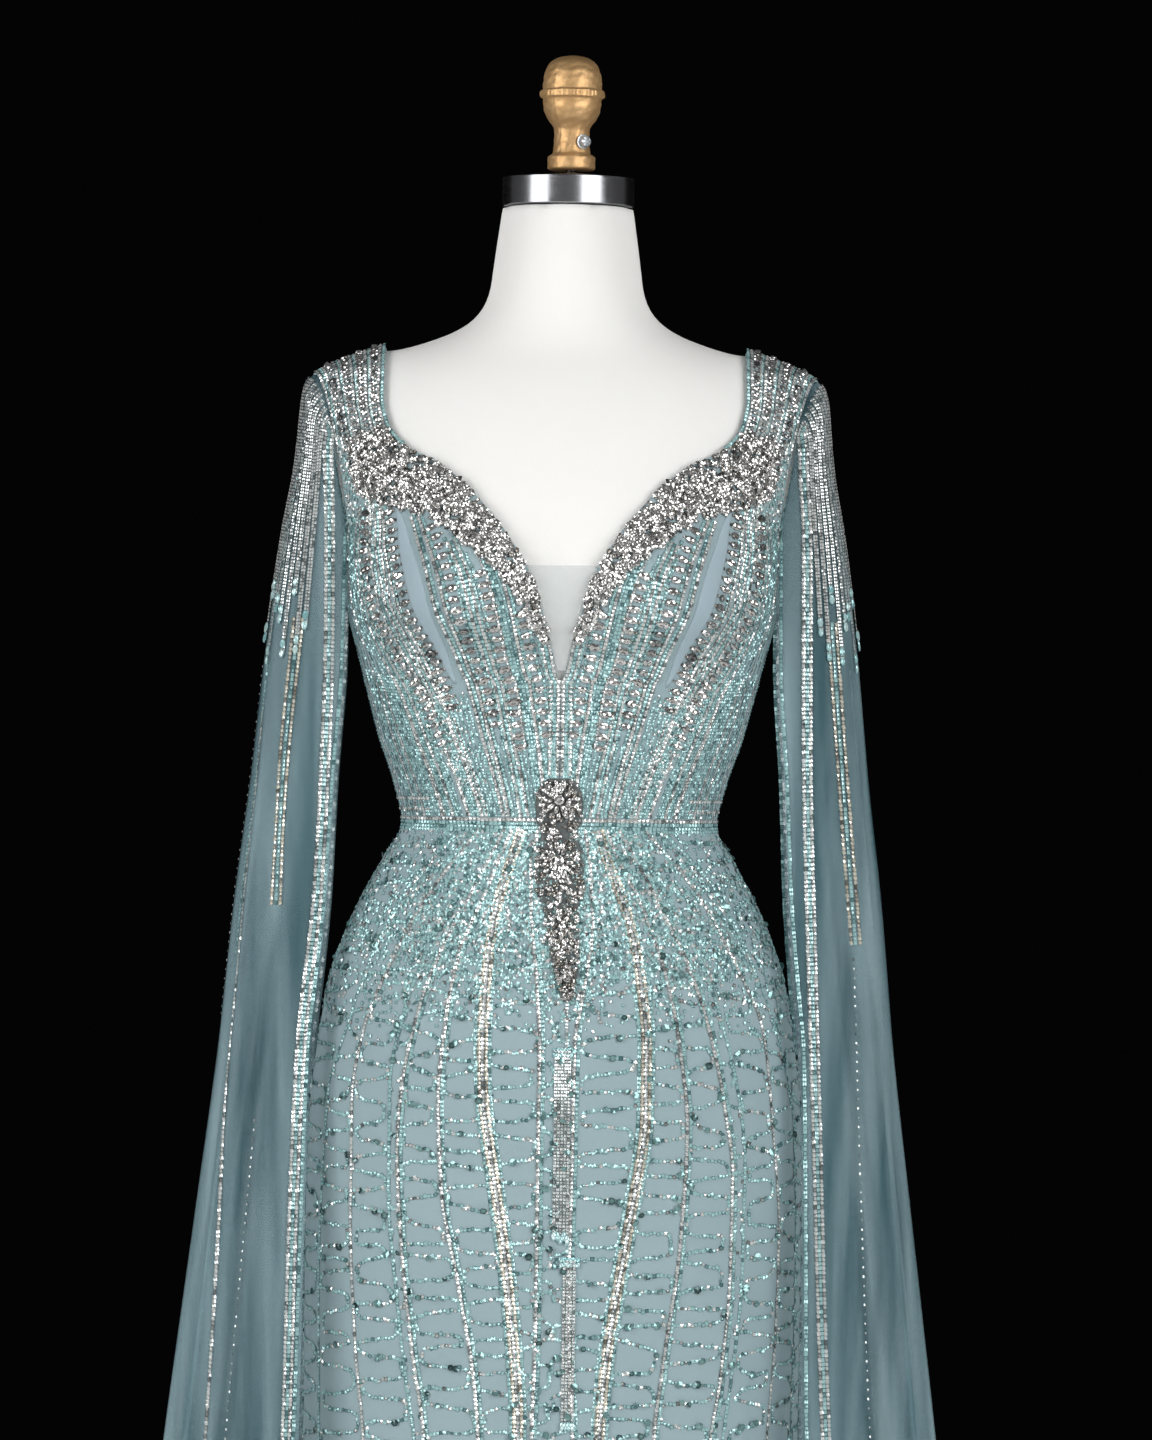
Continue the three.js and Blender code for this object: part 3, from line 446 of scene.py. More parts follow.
class Finishes:
    """Every finish of the gown, the form and the stand."""

    georgette = Finish(
        "crepe_georgette", tone(146, 168, 174), tone(156, 178, 183), 0.74, grain=1500, grain_depth=0.25, sheen=0.12
    )
    plain_strip = Finish(
        "plain_strip", tone(160, 180, 190), tone(168, 187, 196), 0.7, grain=1500, grain_depth=0.2, sheen=0.12
    )
    net = Finish(
        "illusion_net", tone(222, 228, 229), tone(230, 234, 235), 0.6, grain=900, grain_depth=0.15,
        alpha=0.29)
    # Painted light and shade: the tulle's colour runs in upright streaks from dark to pale teal, standing in for the
    # lit and shaded sides of soft folds.
    tulle = Finish(
        "sheer_tulle", tone(84, 124, 134), tone(200, 230, 238), 0.75, patch=40, patch_stretch=(1, 1, 0.03), grain=1100,
        grain_depth=0.2, alpha=0.22, specular=0.2, edge=0.32,
    )
    cover = Finish(
        "cotton_cover", tone(240, 239, 236), tone(245, 244, 242), 0.82, grain=1300, grain_depth=0.22,
        sheen=0.05)
    silver = Finish(
        "silver_seed", tone(238, 242, 240), tone(255, 255, 252), 0.16, 0.55, Variation.TINT, coat=0.3, dark=tone(84, 90, 90)
    )
    gilt = Finish(
        "gilt_seed", tone(246, 240, 222), tone(255, 250, 234), 0.16, 0.55, Variation.TINT, coat=0.3, dark=tone(88, 82, 72)
    )
    aqua = Finish(
        "aqua_seed", tone(172, 213, 214), tone(240, 253, 252), 0.16, 0.32, Variation.TINT, coat=0.4, dark=tone(58, 100, 103)
    )
    sequin = Finish(
        "teal_sequin", tone(132, 172, 171), tone(232, 246, 245), 0.12, 0.5, Variation.TINT, coat=0.4, dark=tone(14, 42, 44)
    )
    crystal = Finish(
        "cut_crystal", tone(220, 219, 217), tone(255, 255, 254), 0.06, 0.85, Variation.TINT, dark=tone(92, 92, 92)
    )
    setting = Finish(
        "crystal_setting", tone(150, 145, 138), tone(230, 226, 218), 0.25, 0.9, Variation.TINT, dark=tone(30, 30, 30)
    )
    aqua_crystal = Finish(
        "aqua_crystal", tone(130, 186, 190), tone(215, 240, 240), 0.08, 0.3, Variation.TINT, coat=0.6)
    # The backing's dark grey is painted shade for the gaps between the waist motif's crystals.
    backing = Finish(
        "bead_backing", tone(66, 70, 70), tone(110, 116, 116), 0.6, patch=300, grain=900, grain_depth=0.3)
    steel = Finish(
        "brushed_steel", tone(150, 151, 155), tone(170, 171, 175), 0.2, 1.0, patch=30, grain=60, grain_depth=0.012,
        stretch=(1, 1, 40), anisotropic=0.5,
    )
    thread = Finish(
        "rod_steel", tone(70, 68, 66), tone(104, 101, 98), 0.42, 1.0, patch=200, grain=500, grain_depth=0.05)
    zinc = Finish(
        "zinc_screw", tone(196, 202, 208), tone(222, 227, 232), 0.3, 0.8, patch=200, grain=500,
        grain_depth=0.05)
    brass = Finish(
        "cast_brass", tone(198, 154, 100), tone(226, 188, 138), 0.5, 0.7, patch=90, grain=320,
        grain_depth=0.45)
    plate = Finish(
        "shoulder_plate", tone(226, 224, 220), tone(236, 234, 231), 0.5, grain=700, grain_depth=0.06)
    iron = Finish(
        "stand_enamel", tone(58, 60, 64), tone(70, 72, 77), 0.45, grain=800, grain_depth=0.08, coat=0.2)
    floor = Finish("studio_floor", tone(206, 205, 203), tone(214, 213, 211), 0.8, patch=3)


# The body that the cloth follows


@dataclass
class Body:
    """The figure under the cloth: level sections up to the chest, then a curve over the ridge.

    theta is 0 at the centre front and a quarter turn at the wearer's left side. h is the height
    up to the chest, and above it the way along the curve to the shoulder ridge.
    """

    chest: float = 1290
    ridge: float = 1460
    roundness: float = 2.3
    wide: Curve = Curve(
        (8, 250), (120, 218), (260, 193), (420, 183), (594, 184), (740, 184.5), (820, 184), (860, 181.5),
        (900, 176.5), (943, 169), (973, 158.7), (1003, 145.5), (1033, 129), (1060, 116), (1094, 123.5), (1124, 134),
        (1155, 142.5), (1185, 150.2), (1230, 161), (1290, 166), (1340, 175), (1400, 185), (1460, 192),
    )
    front: Curve = Curve(
        (8, 186), (120, 158), (260, 130), (420, 112), (594, 104), (740, 101), (820, 102), (860, 103), (900, 102),
        (943, 100), (973, 98), (1003, 95), (1033, 90), (1060, 86), (1094, 88), (1124, 91), (1155, 94), (1185, 98),
        (1230, 103), (1290, 104), (1460, 104),
    )
    back: Curve = Curve(
        (8, 224), (120, 186), (260, 152), (420, 131), (594, 123), (740, 121), (820, 124), (860, 124), (900, 120),
        (943, 111), (973, 102), (1003, 91), (1033, 80), (1060, 75), (1094, 77), (1124, 80), (1155, 84), (1185, 88),
        (1230, 92), (1290, 94), (1460, 94),
    )

    def radius(self, theta: Array, z: Array) -> Array:
        """Distance of the level section from the middle line.

        Args:
            theta: angle round the body.
            z: height.

        Returns:
            A superellipse of the width and depth there, raised at the cups, with the hem's folds.
        """
        deep = np.where(np.cos(theta) > 0, self.front(z), self.back(z))
        outline = (np.abs(np.sin(theta)) / self.wide(z)) ** self.roundness
        outline = outline + (np.abs(np.cos(theta)) / deep) ** self.roundness
        turn = np.abs(np.arctan2(np.sin(theta), np.cos(theta)))
        level = (z - 1228) / np.where(z > 1228, 62, 40)
        cup = 25 * np.exp(-(((turn - 0.62) / 0.42) ** 2) - level**2)
        fold = ease((430 - z) / 422) * 11 * np.cos(8 * even_turn(theta))
        return outline ** (-1 / self.roundness) + cup + fold

    def section(self, theta: Array, z: Array) -> Array:
        """Point of the level section."""
        radius = self.radius(theta, z)
        return stacked(radius * np.sin(theta), -radius * np.cos(theta), z)

    @staticmethod
    def ridge_height(x: Array) -> Array:
        """Height of the shoulder ridge.

        Args:
            x: place across the body.

        Returns:
            A blunted slope down from the middle, with a square's rounding past x = 168.
        """
        x = np.abs(x)
        rounding = np.maximum(0, (x - 168) / (192 - 168))
        return 1470 - 0.37 * np.hypot(x, 18) - 4 * rounding**2

    def point(self, theta: Array, h: Array) -> Array:
        """Point of the body.

        Args:
            theta: angle round the body.
            h: way up the body.

        Returns:
            The section's point up to the chest, and above it a curve that leaves upright and
            meets the ridge level.
        """
        theta, h = np.broadcast_arrays(np.asarray(theta, float), np.asarray(h, float))
        low = self.section(theta, np.minimum(h, self.chest))
        start = self.section(theta, np.full(h.shape, self.chest))
        before = self.section(theta, np.full(h.shape, self.chest - 2))
        span = self.ridge - self.chest
        t = np.clip((h - self.chest) / span, 0, 1)
        x = start[..., 0] * self.wide(h) / self.wide(self.chest)
        lean = (start[..., 1] - before[..., 1]) / 2 * span
        y = hermite(start[..., 1], lean, 0, -start[..., 1] * 1.6, t)
        z = hermite(self.chest, span, self.ridge_height(x), 0, t)
        high = stacked(x, y, z)
        return np.where((h > self.chest)[..., None], high, low)

    def normal(self, theta: Array, h: Array) -> Array:
        """Way out of the body.

        Args:
            theta: angle round the body.
            h: way up the body.

        Returns:
            The cross product of a small step round and a small step up, at length 1.
        """
        h = np.minimum(h, self.ridge - 1)
        across = self.point(theta + 1e-3, h) - self.point(theta - 1e-3, h)
        up = self.point(theta, h + 0.5) - self.point(theta, h - 0.5)
        return unit(np.cross(across, up))

    def cloth(self, theta: Array, h: Array, out: Array | float) -> Array:
        """Point of the body moved out along its normal."""
        return self.point(theta, h) + self.normal(theta, h) * np.asarray(out)[..., None]

    def front_angle(self, x: Array, h: Array) -> Array:
        """Angle at which the front has that x."""
        return np.sign(x) * self._halved(x, h, behind=False)

    def back_angle(self, x: Array, h: Array) -> Array:
        """Angle at which the left back has that x."""
        return math.pi - self._halved(x, h, behind=True)

    def _halved(self, x: Array, h: Array, behind: bool) -> Array:
        """Angle from the centre line to a place, found by halving the quarter turn.

        Args:
            x: place across the body.
            h: way up the body.
            behind: whether it is counted from the centre back.

        Returns:
            The angle after 26 halvings.
        """
        x, h = np.broadcast_arrays(np.asarray(x, float), np.asarray(h, float))
        low, high = np.zeros(x.shape), np.full(x.shape, QUARTER)
        for _ in range(26):
            middle = (low + high) / 2
            short = self.point(math.pi - middle if behind else middle, h)[..., 0] < np.abs(x)
            low, high = np.where(short, middle, low), np.where(short, high, middle)
        return low


# Beads


class Bead(Enum):
    """Shapes of bead: points round, and the radius and height of each ring from the girdle in."""

    SEED = (4, ((1.0, 0.05), (0.0, 0.38)))
    SEQUIN = (6, ((1.0, 0.0), (0.0, 0.5)))
    CHIP = (5, ((1.0, 0.12), (0.58, 0.4), (0.0, 0.24)))
    STONE = (8, ((1.0, -0.1), (0.82, 0.42), (0.48, 0.58), (0.0, 0.36)))

    def template(self) -> tuple[Array, Ints]:
        """Points and faces of one bead of half size 1, flat underneath.

        Returns:
            Points as the way along the thread, across it and out of the cloth, and triangles:
            rings, each turned half a step against the last, close on a point above.
        """
        around, rings = self.value
        start = np.arange(around)
        ahead = np.roll(start, -1)
        turn = (start + 0.5) * 2 * math.pi / around
        levels = []
        for k, (radius, height) in enumerate(rings[:-1]):
            angle = turn + k * math.pi / around
            levels.append(
                np.stack([radius * np.cos(angle), radius * np.sin(angle), np.full(around, height)], axis=-1))
        top = np.array([[0, 0, rings[-1][1]]])
        bottom = np.array([[start[0], k + 1, k] for k in range(1, around - 1)])
        faces = [bottom]
        for k in range(len(levels) - 1):
            low, high = k * around, (k + 1) * around
            faces.append(np.stack([start + low, ahead + low, start + high], axis=-1))
            faces.append(np.stack([ahead + low, ahead + high, start + high], axis=-1))
        last = (len(levels) - 1) * around
        faces.append(np.stack([start + last, ahead + last, np.full(around, len(levels) * around)], axis=-1))
        return np.vstack([*levels, top]), np.vstack(faces)


@dataclass
class Places:
    """Where beads sit: their middles, the way along the thread and the way out of the cloth."""

    points: Array
    along: Array
    out: Array

    def pick(self, chosen: Array) -> "Places":
        """The places that are chosen, by index or by a mask."""
        return Places(self.points[chosen], self.along[chosen], self.out[chosen])

    def turned(self, angle: Array) -> "Places":
        """The places with the thread's way turned about the way out.

        Args:
            angle: turn of each place.

        Returns:
            The turned places.
        """
        across = np.cross(self.out, self.along)
        along = self.along * np.cos(angle)[:, None] + across * np.sin(angle)[:, None]
        return Places(self.points, along, self.out)

    def lifted(self, out: Array | float, across: Array | float = 0.0) -> "Places":
        """The places moved off the thread.

        Args:
            out: how far out of the cloth.
            across: how far across the thread.

        Returns:
            The moved places.
        """
        aside = np.cross(self.out, self.along)
        moved = self.points + self.out * np.asarray(out)[..., None] + aside * np.asarray(across)[..., None]
        return Places(moved, self.along, self.out)


class BeadPile:
    """Gathers beads of several kinds and finishes into one mesh."""

    def __init__(self, seed: int) -> None:
        """Starts an empty pile.

        Args:
            seed: fixes the pile's random sizes and tints.
        """
        self.random = np.random.default_rng(seed)
        self.points: list[Array] = []
        self.tris: list[Ints] = []
        self.tints: list[Array] = []
        self.finishes: list[Finish] = []
        self.slots: list[Ints] = []
        self.count = 0

    def add(
        self, bead: Bead, finish: Finish, places: Places, size: tuple[float, float, float],
        vary: float = 0.12) -> None:
        """Adds one bead at each place, its rim painted darker than its face as shade between the beads.

        Args:
            bead: shape of the beads.
            finish: their finish.
            places: where they sit.
            size: half size along the thread, across it and out of the cloth.
            vary: share by which sizes differ, and by which the beads roll about their threads.
        """
        amount = len(places.points)
        if not amount:
            return
        if finish not in self.finishes:
            self.finishes.append(finish)
        template, faces = bead.template()
        across = np.cross(places.out, places.along)
        roll = self.random.uniform(-1, 1, (amount, 1)) * min(0.4, 2.5 * vary)
        aside = across * np.cos(roll) + places.out * np.sin(roll)
        upward = places.out * np.cos(roll) - across * np.sin(roll)
        frame = np.stack([places.along * size[0], aside * size[1], upward * size[2]], axis=1)
        scale = 1 + vary * self.random.uniform(-1, 1, (amount, 1, 1))
        beads = places.points[:, None, :] + template @ frame * scale
        shift = self.count + np.arange(amount)[:, None, None] * len(template)
        self.points.append(beads.reshape(-1, 3))
        self.tris.append((faces + shift).reshape(-1, 3))
        # Painted shade: the girdle ring's tint is cut to 0.16, so each bead's rim darkens like the shadow in the gaps
        # between beads.
        rim = np.where(np.arange(len(template)) < bead.value[0], 0.16, 1.0)
        self.tints.append((self.random.uniform(0.05, 1, amount)[:, None] * rim).ravel())
        self.slots.append(np.full(amount * len(faces), self.finishes.index(finish)))
        self.count += amount * len(template)

    def piece(self, name: str) -> bpy.types.Object:
        """The pile as one object with its tints, which carry the painted rim shade, and its finishes.

        Args:
            name: name of the object.

        Returns:
            The object, with flat facets.
        """
        made = Shape(np.vstack(self.points), tris=np.vstack(self.tris))
        piece = made.piece(name, *self.finishes, smooth=False)
        tint = piece.data.attributes.new("tint", "FLOAT", "POINT")
        tint.data.foreach_set("value", np.concatenate(self.tints).astype(np.float32))
        piece.data.polygons.foreach_set("material_index", np.concatenate(self.slots).astype(np.int32))
        return piece


def strung(path: Array, out: Array, pitch: float) -> Places:
    """Beads at an equal pitch along a path.

    Args:
        path: points close together along the thread.
        out: way out of the cloth at each point.
        pitch: distance between beads.

    Returns:
        Their places, each turned along the thread.
    """
    steps = np.linalg.norm(np.diff(path, axis=0), axis=1)
    length = np.concatenate([[0], np.cumsum(steps)])
    at = np.arange(pitch / 2, length[-1], pitch)
    points = np.stack([np.interp(at, length, path[:, k]) for k in range(3)], axis=-1)
    ways = np.stack([np.interp(at, length, out[:, k]) for k in range(3)], axis=-1)
    along = unit(np.gradient(points, axis=0)) if len(points) > 1 else unit(path[-1:] - path[:1])
    return Places(points, along, square_to(ways, along))


class LineKind(Enum):
    """How a line of beads is strung."""

    SILVER = "one row of silver seeds"
    AQUA = "one row of aqua seeds"
    PAIR = "a silver row and an aqua row side by side"
    DOUBLE = "two silver rows with an aqua one on each side"
    ROPE = "a braid of silver and gilt rows over aqua ones"
    CHAIN = "two gilt rows with an aqua one between them"
    DOTS = "single silver seeds well apart"


def string_line(pile: BeadPile, path: Array, out: Array, kind: LineKind) -> None:
    """Sews one line of seed beads on a path, the seeds of silver rows slanted like a twisted cord.

    Args:
        pile: the beads are added to it.
        path: points of the line on the cloth.
        out: way out of the cloth at each.
        kind: how it is strung.
    """
    rows = {
        LineKind.SILVER: ((Finishes.silver, 0.0, 0.5, 0.3),),
        LineKind.AQUA: ((Finishes.aqua, 0.0, 0.4, 0.0),),
        LineKind.PAIR: ((Finishes.silver, 0.0, 0.7, 0.3), (Finishes.aqua, 2.9, 0.3, 0.0)),
        LineKind.DOUBLE: (
            (Finishes.silver, 2.7, 0.6, 0.3),
            (Finishes.silver, -2.7, 0.6, 0.3),
            (Finishes.aqua, 0.0, 0.4, 0.0),
        ),
        LineKind.ROPE: (
            (Finishes.gilt, 2.7, 0.7, 0.4),
            (Finishes.silver, 0.0, 1.1, -0.4),
            (Finishes.gilt, -2.7, 0.7, 0.4),
            (Finishes.aqua, 5.3, 0.3, 0.0),
            (Finishes.aqua, -5.3, 0.3, 0.0),
        ),
        LineKind.CHAIN: (
            (Finishes.gilt, 3.9, 0.6, 0.4),
            (Finishes.gilt, -3.9, 0.6, 0.4),
            (Finishes.aqua, 0.0, 0.3, 0.0),
        ),
        LineKind.DOTS: ((Finishes.silver, 0.0, 0.3, 0.0),),
    }
    pitch, size = (7.0, (1.3, 1.2, 1.6)) if kind is LineKind.DOTS else (3.25, (2.05, 1.9, 2.0))
    for finish, aside, lift, slant in rows[kind]:
        places = strung(path, out, pitch)
        turned = places.lifted(lift, aside).turned(np.full(len(places.points), slant))
        pile.add(Bead.SEED, finish, turned, size, 0.1)


# The gown


@dataclass
class Crease:
    """One soft upright fold of the skirt: where it lies, how far it reaches and how deep it is."""

    turn: float
    top: float
    depth: float
    width: float


@dataclass
class Gown:
    """Sizes that the gown's pieces share."""

    body: Body
    inside: float = 1.4
    outside: float = 3.0
    seam: float = 0.3
    waist: float = 1060
    hem: float = 8
    creases: tuple[Crease, ...] = (
        Crease(0.16, 760, 2.6, 0.07),
        Crease(-0.13, 700, 2.2, 0.06),
        Crease(0.52, 640, 3.0, 0.09),
        Crease(-0.47, 690, 2.8, 0.08),
        Crease(0.86, 740, 2.4, 0.08),
        Crease(-0.9, 600, 3.2, 0.1),
        Crease(1.24, 560, 2.6, 0.08),
        Crease(-1.2, 640, 2.3, 0.08),
        Crease(1.72, 600, 3.0, 0.1),
        Crease(-1.66, 660, 2.6, 0.09),
        Crease(2.18, 700, 2.8, 0.09),
        Crease(-2.28, 620, 3.1, 0.1),
        Crease(2.62, 640, 2.6, 0.08),
        Crease(-2.7, 720, 2.4, 0.08),
    )

    def rise(self, theta: Array, h: Array) -> Array:
        """Height of the soft creases over the plain skirt.

        Args:
            theta: angle round the skirt.
            h: height.

        Returns:
            The sum of bell-shaped ridges in even turn, each growing from its top downwards.
        """
        turn = even_turn(theta)
        total = np.zeros(np.broadcast_shapes(np.shape(theta), np.shape(h)))
        for fold in self.creases:
            sway = 0.02 * np.sin(h / 90 + fold.turn * 7)
            away = np.arctan2(np.sin(turn - fold.turn - sway), np.cos(turn - fold.turn - sway))
            total = total + fold.depth * np.exp(-((away / fold.width) ** 2)) * ease((fold.top - h) / 260)
        return total

    def skirt_point(self, theta: Array, h: Array, out: float) -> Array:
        """Point of the skirt with its creases."""
        return self.body.cloth(theta, h, self.rise(theta, h) + out)

    def on_skirt(self, theta: Array, h: Array) -> tuple[Array, Array]:
        """Path over the skirt's outer face and the way out of it."""
        return self.skirt_point(theta, h, self.outside), self.body.normal(theta, h)

    def on_bodice(self, theta: Array, h: Array) -> tuple[Array, Array]:
        """Path over the bodice's outer face and the way out of it."""
        return self.body.cloth(theta, h, self.outside), self.body.normal(theta, h)


@dataclass
class Skirt:
    """The skirt's three panels and the beads on them."""

    gown: Gown
    rows: int = 104
    loop: float = 28
    thinning: float = 560
    lines_left: tuple[tuple[LineKind, Curve], ...] = (
        (
            LineKind.PAIR,
            Curve(
                (8, 30), (420, 20), (594, 17), (700, 12), (800, 13), (898, 14), (932, 19), (986, 26),
                (1024, 24), (1057, 19))),
        (
            LineKind.ROPE,
            Curve(
                (8, 74), (300, 44), (594, 36), (649, 39), (708, 47), (777, 58), (845, 67), (894, 67),
                (946, 62), (992, 52), (1035, 36), (1057, 29))),
        (
            LineKind.PAIR,
            Curve(
                (8, 120), (300, 82), (594, 76), (663, 83), (750, 94), (834, 98), (906, 90), (951, 80),
                (1003, 61), (1048, 38), (1057, 35))),
        (
            LineKind.PAIR,
            Curve(
                (8, 168), (300, 124), (594, 118), (650, 125), (723, 131), (800, 132), (854, 125), (913, 112),
                (954, 98), (997, 77), (1024, 63), (1057, 44))),
        (
            LineKind.AQUA,
            Curve(
                (8, 184), (300, 138), (594, 127), (641, 132), (723, 140), (812, 141), (857, 136), (920, 121),
                (960, 106), (1003, 84), (1057, 52))),
        (
            LineKind.SILVER,
            Curve(
                (8, 208), (300, 166), (594, 160), (674, 165), (755, 167), (839, 161), (907, 153), (961, 130),
                (1002, 108), (1057, 64))),
        (
            LineKind.AQUA,
            Curve(
                (8, 232), (300, 184), (594, 178), (722, 180), (835, 177), (900, 165), (960, 143),
                (1010, 118), (1057, 76))),
    )
    lines_right: tuple[tuple[LineKind, Curve], ...] = (
        (
            LineKind.PAIR,
            Curve(
                (8, 30), (420, 18), (594, 14), (700, 12), (800, 12), (900, 12), (932, 14), (959, 16),
                (986, 19), (1029, 20), (1057, 15))),
        (
            LineKind.ROPE,
            Curve(
                (8, 66), (300, 26), (594, 24), (617, 24), (662, 27), (730, 34), (798, 44), (863, 53),
                (899, 54), (958, 51), (1002, 44), (1027, 37), (1057, 27))),
        (
            LineKind.PAIR,
            Curve(
                (8, 112), (300, 62), (594, 53), (639, 56), (716, 69), (790, 83), (858, 86), (917, 81),
                (965, 72), (1001, 57), (1057, 34))),
        (
            LineKind.PAIR,
            Curve(
                (8, 158), (300, 104), (594, 93), (670, 103), (747, 112), (824, 116), (873, 112), (930, 99),
                (969, 84), (1008, 64), (1057, 40))),
        (
            LineKind.AQUA,
            Curve(
                (8, 172), (300, 116), (594, 100), (638, 106), (701, 114), (790, 122), (865, 122), (920, 112),
                (965, 96), (1010, 72), (1057, 48))),
        (
            LineKind.SILVER,
            Curve(
                (8, 200), (300, 152), (594, 138), (669, 145), (774, 150), (853, 150), (905, 142), (957, 122),
                (1010, 93), (1057, 58))),
        (
            LineKind.AQUA,
            Curve(
                (8, 230), (300, 182), (594, 171), (720, 173), (857, 168), (905, 155), (957, 138),
                (1010, 112), (1057, 72))),
    )

    def panel(self, start: float, end: float, columns: int) -> Shape:
        """One panel of the skirt, parted from its neighbours by half a seam.

        Args:
            start: even turn of its first edge.
            end: even turn of its last edge.
            columns: faces across it.

        Returns:
            The wall between its outer and inner face, thicker at the narrow rolled hem.
        """
        gown = self.gown
        top = gown.waist - gown.seam / 2
        levels = np.concatenate(
            [np.linspace(gown.hem, gown.hem + 6, 6)[:-1], np.linspace(gown.hem + 6, top, self.rows)])
        inset = gown.seam / 2 / 116
        turns = turn_of(np.linspace(start, end, columns + 1))
        turns[0] += inset
        turns[-1] -= inset
        theta, h = np.meshgrid(turns, levels)
        roll = 0.7 * np.exp(-(((h - gown.hem - 1.6) / 1.6) ** 2))
        outer = gown.skirt_point(theta, h, gown.outside + roll)
        inner = gown.skirt_point(theta, h, gown.inside - roll)
        return shell(outer, inner)

    def turns(self, curve: Curve, side: int, heights: Array, behind: bool) -> Array:
        """Angles of a line at each height.

        Args:
            curve: its x by height.
            side: 1 on the wearer's left, -1 on the right.
            heights: where it is read.
            behind: whether it runs down the back.

        Returns:
            The angle at each height, signed by side.
        """
        least = np.minimum(curve(heights), self.gown.body.wide(heights) * 0.995)
        turn = self.gown.body.front_angle(least, heights)
        return side * (math.pi - turn if behind else turn)

    def beads(self, side: int, behind: bool, seed: int) -> tuple[BeadPile, BeadPile]:
        """The lines and the meanders between them on one quarter of the skirt.

        Args:
            side: 1 on the wearer's left, -1 on the right.
            behind: whether it is the back.
            seed: fixes what varies.

        Returns:
            The pile of lines and scattered seeds, and the pile of meanders and sequins.
        """
        gown = self.gown
        lines, loops = BeadPile(seed), BeadPile(seed + 1)
        heights = np.linspace(gown.waist - 2.5, gown.hem + 5, 420)
        wanted = self.lines_left if side > 0 else self.lines_right
        angles = [self.turns(curve, side, heights, behind) for _, curve in wanted]
        edge = side * np.full(len(heights), math.pi - 0.02 if behind else 0.0)
        flank = side * np.full(len(heights), QUARTER + (0.03 if behind else -0.03))
        for (kind, _), theta in zip(wanted, angles):
            string_line(lines, *gown.on_skirt(theta, heights), kind)
        waistline = side * (np.linspace(QUARTER, math.pi, 300) if behind else np.linspace(0, QUARTER, 300))
        for drop in (1.4, 4.2):
            string_line(lines, *gown.on_skirt(waistline, np.full(300, gown.waist - drop)), LineKind.AQUA)
        for k, (first, last) in enumerate(zip([edge, *angles], [*angles, flank])):
            self.meander(loops, first, last, heights, k + seed)
            self.scatter(lines, first, last, heights)
        return lines, loops

    def meander(self, pile: BeadPile, first: Array, last: Array, heights: Array, key: int) -> None:
        """Strings a wandering line of seeds between two lines, with sequins along it.

        The thread swings from side to side as a squared-off sine of the way down, and each swing
        sags and rises on its way across, so the loops are uneven.

        Args:
            pile: the beads are added to it.
            first: angle of the line on one side at each height.
            last: angle of the line on the other side.
            heights: the heights.
            key: fixes what varies.
        """
        gown = self.gown
        random = np.random.default_rng(1000 + key)
        down = np.linspace(0, 1, 9000)
        top, bottom = heights[0] - 3, heights[-1] + 6
        period = self.loop + 26 * ease((self.thinning - mix(top, bottom, down)) / 420)
        wander = np.interp(down, np.linspace(0, 1, 40), random.uniform(-0.9, 0.9, 40))
        turns = np.concatenate([[0], np.cumsum((top - bottom) * np.diff(down) / period[1:])])
        phase = 2 * math.pi * turns + wander * 1.3 + random.uniform(0, 6)
        swing = np.tanh(2.6 * np.sin(phase)) / math.tanh(2.6)
        reach = 0.4 + 0.06 * np.interp(down, np.linspace(0, 1, 60), random.uniform(-1, 1, 60))
        sag = np.interp(down, np.linspace(0, 1, 90), random.uniform(-1, 1, 90))
        h = mix(top, bottom, down) + 2.4 * sag * np.cos(phase) + 1.6 * np.sin(2 * phase + 3 * sag)
        h = np.clip(h, bottom, top)
        share = 0.5 + reach * swing
        low = np.interp(-h, -heights, first)
        high = np.interp(-h, -heights, last)
        theta = mix(low, high, share)
        path, out = gown.on_skirt(theta, h)
        places = strung(path, out, 2.8)
        width = np.abs(np.interp(-places.points[:, 2], -heights, last - first)) * 150
        kept = random.uniform(0, 1, len(width)) < np.clip(width / 15, 0.2, 1)
        places = places.pick(kept)
        places = places.lifted(0.5, random.uniform(-0.8, 0.8, len(places.points)))
        silver = random.uniform(0, 1, len(places.points)) < 0.2
        places = places.turned(random.uniform(-0.5, 0.5, len(places.points)))
        pile.add(Bead.SEED, Finishes.aqua, places.pick(~silver), (1.95, 1.9, 2.1), 0.25)
        pile.add(Bead.SEED, Finishes.silver, places.pick(silver), (1.85, 1.8, 2.1), 0.25)
        spots = places.pick(random.uniform(0, 1, len(places.points)) < 0.07)
        spots = spots.turned(random.uniform(0, 6, len(spots.points)))
        spots = spots.lifted(1.2, random.uniform(-1.8, 1.8, len(spots.points)))
        lean = unit(spots.out + 0.3 * random.normal(0, 1, spots.out.shape))
        spots.along = square_to(spots.along, lean)
        spots.out = lean
        pile.add(Bead.SEQUIN, Finishes.sequin, spots, (2.6, 2.6, 0.8), 0.25)

